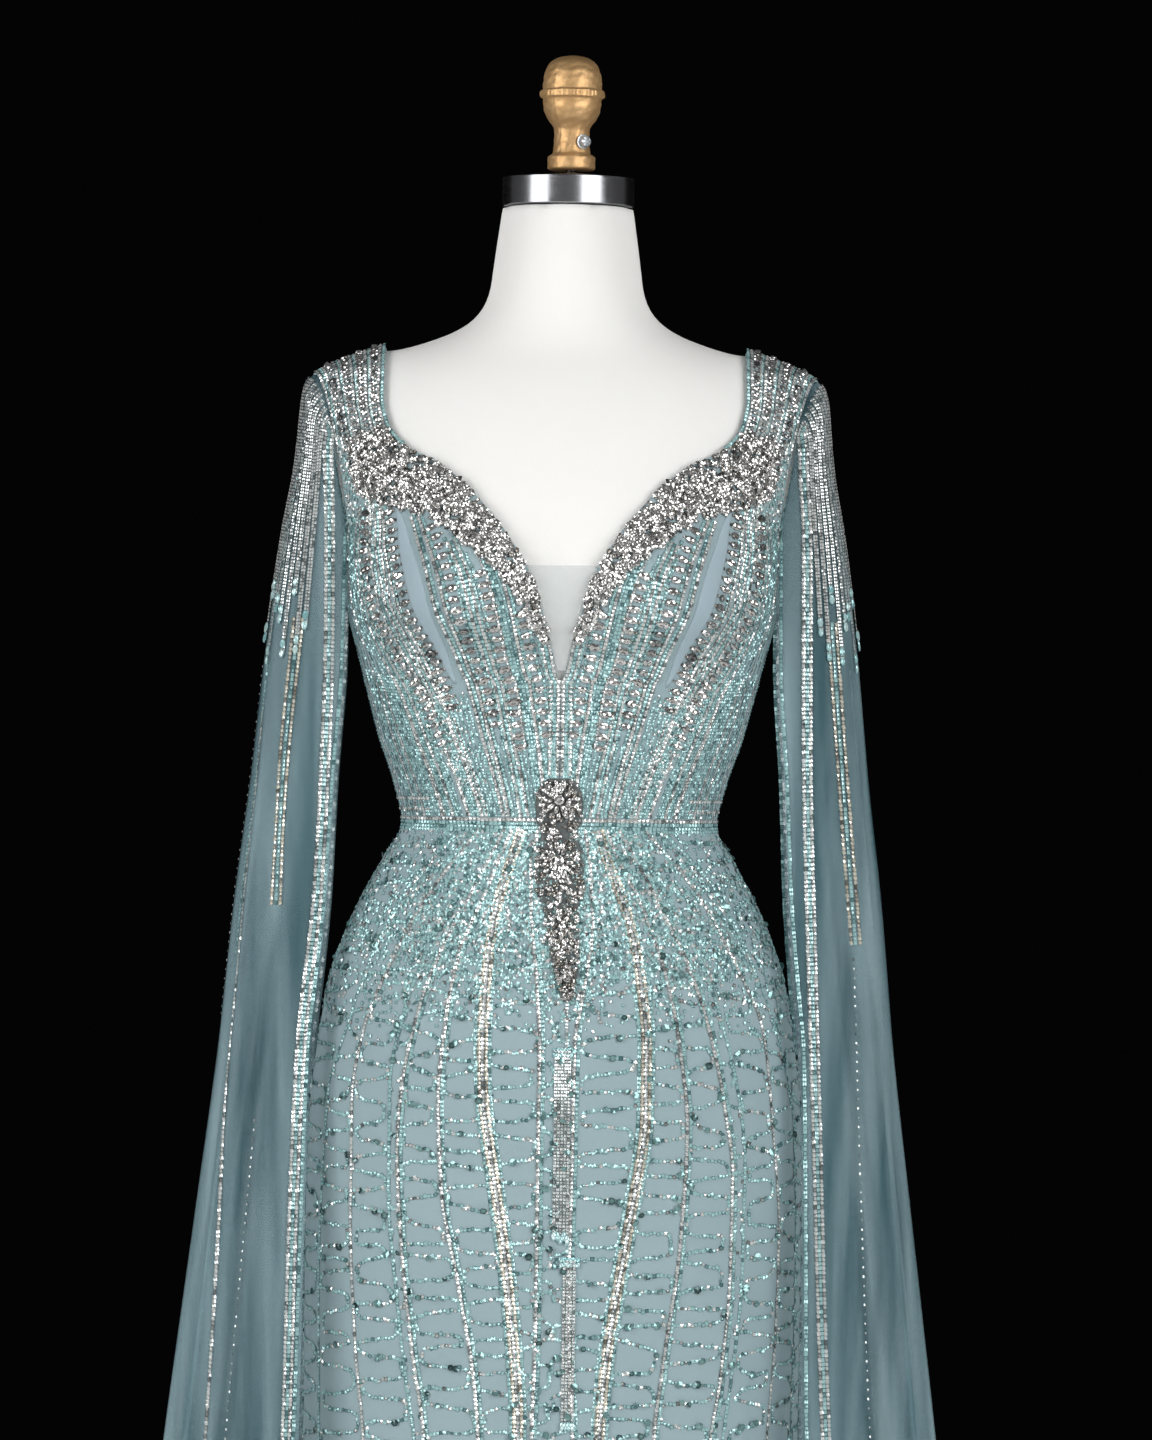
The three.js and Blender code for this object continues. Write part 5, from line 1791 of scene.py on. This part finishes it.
    def fringe(self) -> BeadPile:
        """Strings of silver seeds that hang from the shoulder seam and end in aqua drops.

        Returns:
            The pile.
        """
        pile = BeadPile(71 if self.side > 0 else 73)
        for k, share in enumerate(np.linspace(0.19, 0.54, 11)):
            low = mix(1232, 1180, 0.5 + 0.5 * math.sin(2.4 * k))
            z = np.linspace(1408, low, 260)
            a = np.full(len(z), share)
            seam = self.seam(a)[:, 2]
            t = np.clip((seam - z) / (seam - self.hem), 0.002, 1)
            out = self.normal(a, t)
            path = self.point(a, t) + out * (self.wall / 2 + 0.5)
            places = strung(self.placed(path), self.placed(out), 2.5)
            pile.add(Bead.SEED, Finishes.silver, places.lifted(1.0), (1.5, 1.35, 1.3), 0.04)
            pile.add(Bead.SEED, Finishes.silver, places.lifted(0.8, 2.0), (1.5, 1.3, 1.3), 0.04)
            ends = places.pick(slice(-4, None, 3))
            pile.add(Bead.STONE, Finishes.aqua_crystal, ends.lifted(1.3, 0.6), (3.6, 2.3, 2.1), 0.1)
        return pile

    def build(self) -> list[bpy.types.Object]:
        """Makes the cape with its beads and fringe.

        Returns:
            Every object made.
        """
        word = "left" if self.side > 0 else "right"
        cape = self.cloth().piece(f"cape_sleeve_{word}_tulle", Finishes.tulle)
        beads = self.beads().piece(f"cape_sleeve_{word}_beads")
        fringe = self.fringe().piece(f"shoulder_fringe_{word}_beads")
        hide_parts(*(f"cape_sleeve_{word}_{part}" for part in ("shoulder", "arm", "knee", "hem")))
        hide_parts(f"shoulder_fringe_{word}")
        return [cape, beads, fringe]


@dataclass
class Ornaments:
    """The jewelled motif at the waist and the two tassels below it."""

    gown: Gown
    middle: Curve = Curve(
        (930, 8), (944, 7.4), (958, 6.4), (972, 5), (986, 3.6), (1000, 2.4), (1014, 1.4), (1028, 0.6), (1042, 0.2), (1096, 0)
    )
    half: Curve = Curve(
        (930, 3), (944, 7), (958, 10), (972, 12), (986, 11), (1000, 14), (1014, 18.5), (1028, 18), (1042, 16.5),
        (1055, 13), (1064, 17), (1080, 17.5), (1089, 15), (1096, 9),
    )

    def at(self, x: Array, h: Array, out: float) -> tuple[Array, Array]:
        """Point over the gown at an x and a height, and the way out of it."""
        theta = self.gown.body.front_angle(x, h)
        return self.gown.body.cloth(theta, h, self.gown.outside + out), self.gown.body.normal(theta, h)

    def backing(self) -> Shape:
        """The stiffened patch that carries the crystals, its dark grey painted shade between them.

        Returns:
            A thin wall over the gown's front.
        """
        levels = np.linspace(930, 1096, 60)
        share = np.linspace(-1, 1, 13)
        x = self.middle(levels)[:, None] + self.half(levels)[:, None] * share
        h = np.broadcast_to(levels[:, None], x.shape)
        return shell(self.at(x, h, 1.1)[0], self.at(x, h, 0.3)[0])

    def rosette(self, pile: BeadPile, x: float, h: float, stone: float, petals: int) -> None:
        """A round stone in a ring of navette stones that point away from it.

        Args:
            pile: the stones are added to it.
            x: its place across the gown.
            h: its height.
            stone: half size of the round stone.
            petals: stones in the inner ring; the outer ring has half as many again.
        """
        point, out = self.at(np.array([x]), np.array([h]), 3.2)
        centre = Places(point, unit(np.cross(out, [[1.0, 0, 0]])), out)
        pile.add(Bead.STONE, Finishes.crystal, centre, (stone, stone, 2.4), 0)
        for ring, count, length in ((stone + 3.6, petals, 3.4), (stone + 8.6, petals + petals // 2, 3.0)):
            turn = np.arange(count) * 2 * math.pi / count + ring
            points, ways = self.at(x + ring * np.sin(turn), h + ring * np.cos(turn), 2.2)
            along = unit(points - point)
            ways = square_to(ways, along)
            pile.add(Bead.STONE, Finishes.crystal, Places(points, along, ways), (length, 1.8, 2.2), 0.15)

    def motif(self) -> BeadPile:
        """Three rosettes and the crystals that crowd round and below them.

        Returns:
            The pile.
        """
        pile = BeadPile(83)
        random = pile.random
        self.rosette(pile, 0, 1080, 4.2, 10)
        self.rosette(pile, 0.6, 1034, 3.8, 10)
        self.rosette(pile, 3.4, 985, 3.2, 7)
        h = random.uniform(932, 1095, 520)
        x = self.middle(h) + self.half(h) * random.uniform(-0.96, 0.96, len(h))
        points, out = self.at(x, h, 1.6)
        lean = unit(out + 0.4 * random.normal(0, 1, out.shape))
        along = unit(np.cross(lean, random.normal(0, 1, out.shape)))
        places = Places(points, along, lean).lifted(random.uniform(0, 1.4, len(h)))
        big = random.uniform(0, 1, len(h)) < 0.4
        pile.add(Bead.CHIP, Finishes.setting, places.pick(~big), (1.8, 1.4, 1.6), 0.3)
        pile.add(Bead.STONE, Finishes.crystal, places.pick(big).lifted(0.6), (2.4, 1.9, 2.0), 0.3)
        h = np.linspace(931, 896, 30)
        path, out = self.at(np.full(30, 8.0), h, 0.4)
        pile.add(Bead.SEED, Finishes.silver, strung(path, out, 2.4).lifted(0.9), (1.2, 1.2, 1.1))
        return pile

    def tassel(self, middle: float, top: float, bottom: float, strings: int, seed: int) -> BeadPile:
        """Straight strings of tiny silver seeds that end in aqua drops.

        Args:
            middle: x of the tassel.
            top: height of its head.
            bottom: height of its strings' ends.
            strings: how many it has.
            seed: fixes what varies.

        Returns:
            The pile.
        """
        pile = BeadPile(seed)
        for k in range(strings):
            h = np.linspace(top, bottom + 2 * math.sin(3 * k), 200)
            path, out = self.at(np.full(len(h), middle + (k - (strings - 1) / 2) * 2.5), h, 0.5)
            places = strung(path, out, 2.5)
            pile.add(Bead.SEED, Finishes.silver, places.lifted(1.0), (1.45, 1.4, 1.5), 0.06)
            ends = places.pick(slice(-1, None))
            pile.add(Bead.STONE, Finishes.aqua_crystal, ends.lifted(1.2), (3.6, 1.9, 1.9), 0.1)
        head = np.linspace(-6.2, 6.2, 6)
        for drop in (0, 4):
            points, out = self.at(middle + head, np.full(6, top - drop), 1.2)
            along = unit(np.cross(out, np.tile([[1.0, 0, 0]], (6, 1))))
            pile.add(Bead.CHIP, Finishes.aqua_crystal, Places(points, along, out), (2.2, 1.8, 1.6), 0.2)
        return pile

    def build(self) -> list[bpy.types.Object]:
        """Makes the motif and the tassels.

        Returns:
            Every object made.
        """
        patch = self.backing().piece("waist_motif_backing", Finishes.backing)
        jewels = self.motif().piece("waist_motif_crystals")
        upper = self.tassel(5.5, 894, 753, 5, 91).piece("tassel_upper_beads")
        lower = self.tassel(12.5, 738, 613, 4, 97).piece("tassel_lower_beads")
        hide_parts("waist_motif")
        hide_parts("tassel_upper")
        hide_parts("tassel_lower")
        return [patch, jewels, upper, lower]


# The dress form and its stand


@dataclass
class DressForm:
    """The limbless form: covered torso and neck, shoulder plates, cap, rod and finial."""

    body: Body
    inset: float = 1.7
    bottom: float = 745
    neck_y: float = 4
    rod_x: float = 2
    cap_base: float = 1528.3
    cap_high: float = 22
    finial_base: float = 1556
    screw_z: float = 1577
    screw_turn: float = 0.62
    plate_z: float = 1336
    plate_half: tuple[float, float] = (26, 46)
    plate_lean: float = math.atan(0.16)
    voxel: float = 7.0

    def end_plane(self, z: Array) -> Array:
        """Half width at which the shoulders' flat ends cut the torso off."""
        return 158 + 0.16 * np.maximum(0, z - 1280) + 0.5 * np.maximum(0, 1280 - z)

    def torso(self) -> Shape:
        """The body set in by the cover's clearance, its shoulders cut off flat.

        Returns:
            The closed body.
        """
        theta = turn_of(np.linspace(0, 2 * math.pi, 120, endpoint=False))
        levels = np.concatenate([np.linspace(self.bottom, 1290, 110), np.linspace(1295, 1457, 40)])
        rings = self.body.cloth(theta, levels[:, None], -self.inset)
        limit = self.end_plane(rings[..., 2])
        rings[..., 0] = np.clip(rings[..., 0], -limit, limit)
        return tube(rings)

    def neck(self) -> Shape:
        """The neck, narrowing up to the cap.

        Returns:
            The closed body, an ellipse at each height.
        """
        half = Curve(
            (1392, 84), (1420, 74), (1433, 68.5), (1446, 64), (1458, 60.5), (1480, 56.5), (1503, 53),
            (1528, 49.5))
        deep = Curve((1392, 58), (1458, 56), (1480, 54), (1503, 51.6), (1528, 48.5))
        z = np.linspace(1392, 1528, 60)[:, None]
        turn = np.linspace(0, 2 * math.pi, 96, endpoint=False)
        x, y = half(z) * np.sin(turn), self.neck_y - deep(z) * np.cos(turn)
        return tube(stacked(x, y, z))

    def covered(self) -> bpy.types.Object:
        """Torso and neck as one skin, its meeting line softened.

        Returns:
            The covered form: both bodies remeshed as one, then each point near the neck's root
            drawn to the mean of its neighbours a few dozen times.
        """
        rough = self.torso().joined(self.neck()).piece("form_rough")
        remesh = rough.modifiers.new("skin", "REMESH")
        remesh.mode = "VOXEL"
        remesh.voxel_size = self.voxel * MM
        remesh.use_smooth_shade = True
        ready = rough.evaluated_get(bpy.context.evaluated_depsgraph_get())
        mesh = bpy.data.meshes.new_from_object(ready)
        mesh.name = "form_cover"
        cover = bpy.data.objects.new("form_cover", mesh)
        bpy.context.scene.collection.objects.link(cover)
        bpy.data.objects.remove(rough)
        points = np.zeros(len(mesh.vertices) * 3)
        mesh.vertices.foreach_get("co", points)
        points = points.reshape(-1, 3) / MM
        edges = np.zeros(len(mesh.edges) * 2, int)
        mesh.edges.foreach_get("vertices", edges)
        edges = edges.reshape(-1, 2)
        ends = np.concatenate([edges[:, 0], edges[:, 1]])
        others = np.concatenate([edges[:, 1], edges[:, 0]])
        count = np.bincount(ends, minlength=len(points))[:, None]
        near = np.exp(-(((points[:, 2] - 1438) / 26) ** 2)) * (np.hypot(points[:, 0], points[:, 1]) < 130)
        weight = np.maximum(0.55 * near, 0)[:, None]
        for _ in range(60):
            total = np.stack([np.bincount(ends, points[others, k], len(points)) for k in range(3)], axis=-1)
            points = mix(points, total / count, weight)
        mesh.vertices.foreach_set("co", (points * MM).ravel())
        mesh.update()
        mesh.materials.clear()
        mesh.materials.append(Finishes.cover.material())
        return cover

    def cap(self) -> Shape:
        """The steel cap on the neck, its edges eased.

        Returns:
            The turned body.
        """
        low, high, radius = self.cap_base, self.cap_base + self.cap_high, 49.8
        edge = [
            (
                radius - 1.2 + 1.2 * math.sin(a), high - 1.2 + 1.2 * math.cos(a),
            ) for a in np.linspace(QUARTER, 0, 6)]
        outline = [
            (20, low), (radius - 0.7, low), (radius, low + 0.7), (radius, low + 2), (radius, high - 3),
            *edge, (20, high)]
        return lathe(outline, 128, (0, self.neck_y))

    def rod(self) -> Shape:
        """The threaded rod: its radius swells along a helix as a rounded cosine.

        Returns:
            The closed body.
        """
        z = np.linspace(self.cap_base + self.cap_high + 0.3, self.finial_base + 0.2, 100)[:, None]
        turn = np.linspace(0, 2 * math.pi, 28, endpoint=False)
        wave = np.cos(2 * math.pi * z / 2.6 - turn)
        radius = 4.3 + 0.36 * np.tanh(1.6 * wave)
        x, y = self.rod_x + radius * np.cos(turn), self.neck_y + radius * np.sin(turn)
        return tube(stacked(x, y, z))

    def finial(self) -> Shape:
        """The cast finial: a turned outline with a beaded ring and a hand-cast unevenness.

        Returns:
            The closed body, its lumps sums of sines round and up.
        """
        outline = Curve(
            (1556, 16.4), (1557, 17.9), (1566, 17.9), (1567.4, 16.2), (1568.6, 14.2), (1577, 13.5), (1586, 13.4),
            (1590, 15), (1594, 18), (1598, 20), (1602, 21.4), (1610.2, 22.4), (1611.2, 24.2), (1616, 24.2),
            (1617, 22.6), (1623, 22.3), (1629, 21.4), (1633, 19.8), (1637, 17.6), (1640, 13.8), (1641.6, 10.4), (1642.9, 3),
        )
        z = np.concatenate(
            [np.linspace(1556, 1609, 44), np.linspace(1610, 1618, 14), np.linspace(1619, 1642.9, 26)]
        )[:, None]
        turn = np.linspace(0, 2 * math.pi, 120, endpoint=False)
        ring = np.exp(-(((z - 1613.6) / 2.4) ** 4))
        bead = ring * 1.1 * (np.abs(np.cos(22 * turn)) - 0.5)
        lumps = 0.22 * np.sin(5 * turn + z / 2.7) * np.sin(z / 1.9 + 2 * np.cos(3 * turn))
        lumps = lumps + 0.16 * np.sin(11 * turn - z / 1.3) * np.sin(z / 3.1 + turn * 4)
        cast_line = 0.35 * np.exp(-((np.arctan2(np.sin(turn - 4.1), np.cos(turn - 4.1)) / 0.035) ** 2))
        radius = outline(z) + bead + (lumps + cast_line) * ease((1643 - z) / 10)
        x, y = self.rod_x + radius * np.cos(turn), self.neck_y + radius * np.sin(turn)
        return tube(stacked(x, y, z))

    def bolt(self) -> Shape:
        """The hexagonal set screw on its collar, the corners of its head chamfered.

        Returns:
            The closed body, lying along its own way out of the finial.
        """
        turn = np.linspace(0, 2 * math.pi, 72, endpoint=False)
        hexagon = 4.1 / np.cos((turn % (math.pi / 3)) - math.pi / 6)
        out = np.array([14.5, 14.6, 15.6, 15.7, 15.71, 16.2, 18.6, 19.2, 19.6])
        limit = np.array([5.2, 5.6, 5.6, 5.2, 4.4, 4.7, 4.7, 4.3, 3.6])
        radius = np.minimum(np.where(np.arange(9)[:, None] < 4, 9.0, hexagon), limit[:, None])
        up, aside = radius * np.sin(turn), radius * np.cos(turn)
        way = np.array([math.sin(self.screw_turn), -math.cos(self.screw_turn)])
        across = np.array([-way[1], way[0]])
        x = self.rod_x + out[:, None] * way[0] + aside * across[0]
        y = self.neck_y + out[:, None] * way[1] + aside * across[1]
        return tube(stacked(x, y, self.screw_z + up))

    def plate(self, side: int) -> Shape:
        """The oval plate on a shoulder's flat end, slightly domed.

        Args:
            side: 1 for the wearer's left.

        Returns:
            The closed body.
        """
        lean = self.plate_lean
        half_deep, half_high = self.plate_half
        share = np.array([0.2, 0.6, 0.9, 0.97, 1.0, 1.0, 0.985, 0.94, 0.86, 0.6, 0.25])
        out = np.array([0.4, 0.4, 0.4, 0.5, 1.2, 3.2, 4.4, 5.1, 5.6, 5.9, 6.0])
        turn = np.linspace(0, 2 * math.pi, 72, endpoint=False)
        up, deep = half_high * share[:, None] * np.sin(turn), half_deep * share[:, None] * np.cos(turn)
        x = self.end_plane(self.plate_z) + up * math.sin(lean) + out[:, None] * math.cos(lean)
        z = self.plate_z + up * math.cos(lean) - out[:, None] * math.sin(lean)
        rings = stacked(side * x, deep, z)
        return tube(rings if side > 0 else rings[:, ::-1])

    def build(self) -> list[bpy.types.Object]:
        """Makes every piece of the form above the stand.

        Returns:
            Every object made.
        """
        pieces = {
            "form_body": (self.covered(), "form_cover"),
            "neck_cap": (self.cap().piece("neck_cap_steel", Finishes.steel, crease=40), "steel"),
            "neck_rod": (self.rod().piece("neck_rod_thread", Finishes.thread), "steel"),
            "finial": (self.finial().piece("finial_cast", Finishes.brass, crease=60), "brass"),
            "finial_bolt": (self.bolt().piece("finial_bolt_head", Finishes.zinc, crease=30), "steel"),
            "arm_plate_left": (
                self.plate(1).piece("arm_plate_left_disc", Finishes.plate, crease=50), "arm_plate"),
            "arm_plate_right": (
                self.plate(-1).piece("arm_plate_right_disc", Finishes.plate, crease=50), "arm_plate"),
        }
        for node, (piece, slot) in pieces.items():
            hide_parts(node)
        return [piece for piece, _ in pieces.values()]


@dataclass
class Stand:
    """The steel tube and the four-armed foot that carry the form."""

    low: float = 34.3
    high: float = 744.7
    radius: float = 16

    def build(self, nodes: dict[str, bpy.types.Object]) -> list[bpy.types.Object]:
        """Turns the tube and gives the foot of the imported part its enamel.

        Args:
            nodes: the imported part's pieces by name.

        Returns:
            The tube.
        """
        low, high, radius = self.low, self.high, self.radius
        eased, bore = radius - 0.8, radius / 2
        foot_end = [(bore, low), (eased, low), (radius, low + 0.8), (radius, low + 30)]
        outline = [*foot_end, (radius, 400), (radius, high - 0.8), (eased, high), (bore, high)]
        pole = lathe(outline, 64).piece("stand_pole_tube", Finishes.steel, crease=40)
        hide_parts("stand_pole")
        foot = nodes["stand_base"]
        foot.data.materials.clear()
        foot.data.materials.append(Finishes.iron.material())
        return [pole]


# The studio


@dataclass
class Studio:
    """Camera, lights and floor."""

    distance: float = 5.6
    aim: tuple[float, float] = (0.0116, 1.1395)
    roll: float = 0.0145
    frame_height: float = 1.0909

    def camera(self) -> None:
        """Sets the camera level with the waist's upper part, turned by the photograph's slight roll."""
        lens = bpy.data.cameras.new("camera")
        lens.sensor_width = 36
        lens.sensor_fit = "AUTO"
        lens.lens = 36 * self.distance / self.frame_height
        camera = bpy.data.objects.new("camera", lens)
        cos, sin = math.cos(self.roll), math.sin(self.roll)
        camera.matrix_world = Matrix(
            (
                (cos, -sin, 0, self.aim[0]), (0, 0, -1, -self.distance), (sin, cos, 0, self.aim[1]),
                (0, 0, 0, 1))
        )
        bpy.context.scene.collection.objects.link(camera)
        bpy.context.scene.camera = camera

    def lamp(
        self, name: str, place: tuple[float, float, float], size: tuple[float, float], power: float,
        gleams: bool = True) -> None:
        """Hangs a soft rectangular light that faces the gown.

        Args:
            name: name of the light.
            place: where it hangs, in metres.
            size: its width and height in metres.
            power: its power in watts.
            gleams: whether it shows in gloss.
        """
        light = bpy.data.lights.new(name, "AREA")
        light.shape = "RECTANGLE"
        light.size, light.size_y = size
        light.energy = power
        lamp = bpy.data.objects.new(name, light)
        way = np.array([0, 0, 1.15]) - np.array(place)
        back = -way / np.linalg.norm(way)
        right = np.cross([0, 0, 1], back)
        right /= np.linalg.norm(right)
        up = np.cross(back, right)
        matrix = np.eye(4)
        matrix[:3, 0], matrix[:3, 1], matrix[:3, 2], matrix[:3, 3] = right, up, back, place
        lamp.matrix_world = Matrix(matrix.tolist())
        lamp.visible_camera = False
        lamp.visible_glossy = gleams
        bpy.context.scene.collection.objects.link(lamp)

    def build(self) -> None:
        """Makes the camera, the lights, the dark surround and the pale floor."""
        self.camera()
        self.lamp("key_left", (-2.52, -1.97, 1.85), (1.9, 2.6), 68)
        self.lamp("key_right", (2.1, -2.4, 1.85), (2.1, 2.6), 72)
        self.lamp("front_fill", (0.2, -5.4, 2.4), (6.0, 4.0), 46, gleams=False)
        self.lamp("room", (0.0, -6.4, 2.4), (7.0, 5.0), 20)
        self.lamp("back_left", (-2.2, 2.6, 2.2), (1.4, 1.8), 40, gleams=False)
        self.lamp("back_right", (2.2, 2.6, 2.2), (1.4, 1.8), 40, gleams=False)
        self.lamp("side_left", (-5.0, 0.6, 2.0), (4.0, 4.0), 4)
        self.lamp("side_right", (5.0, 0.6, 2.0), (4.0, 4.0), 5)
        world = bpy.data.worlds.new("surround")
        world.use_nodes = True
        world.node_tree.nodes["Background"].inputs["Color"].default_value = (0.0012, 0.0012, 0.0014, 1)
        bpy.context.scene.world = world
        bpy.context.scene.view_settings.view_transform = "Standard"
        side = 2.4 / MM
        step = np.linspace(-side, side, 9)
        x, y = np.meshgrid(step, step)
        floor = Shape(stacked(x, y, -0.6).reshape(-1, 3), grid_quads(9, 9))
        floor.piece("floor", Finishes.floor)


def main() -> None:
    """Builds every sub-assembly in order and reports its pieces."""
    logging.basicConfig(level=logging.INFO, format="%(message)s")
    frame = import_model()
    body = Body()
    gown = Gown(body)
    bodice = Bodice(gown)
    made = [
        *DressForm(body).build(),
        *Stand().build(frame["nodes"]),
        *Skirt(gown).build(),
        *bodice.build(),
        *CapeSleeve(gown, bodice, 1).build(),
        *CapeSleeve(gown, bodice, -1).build(),
        *Ornaments(gown).build(),
    ]
    for piece in made:
        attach(piece, "root")
        piece.data.calc_loop_triangles()
        log.info("%s: %d triangles", piece.name, len(piece.data.loop_triangles))
    Studio().build()


if __name__ == "__main__":
    main()
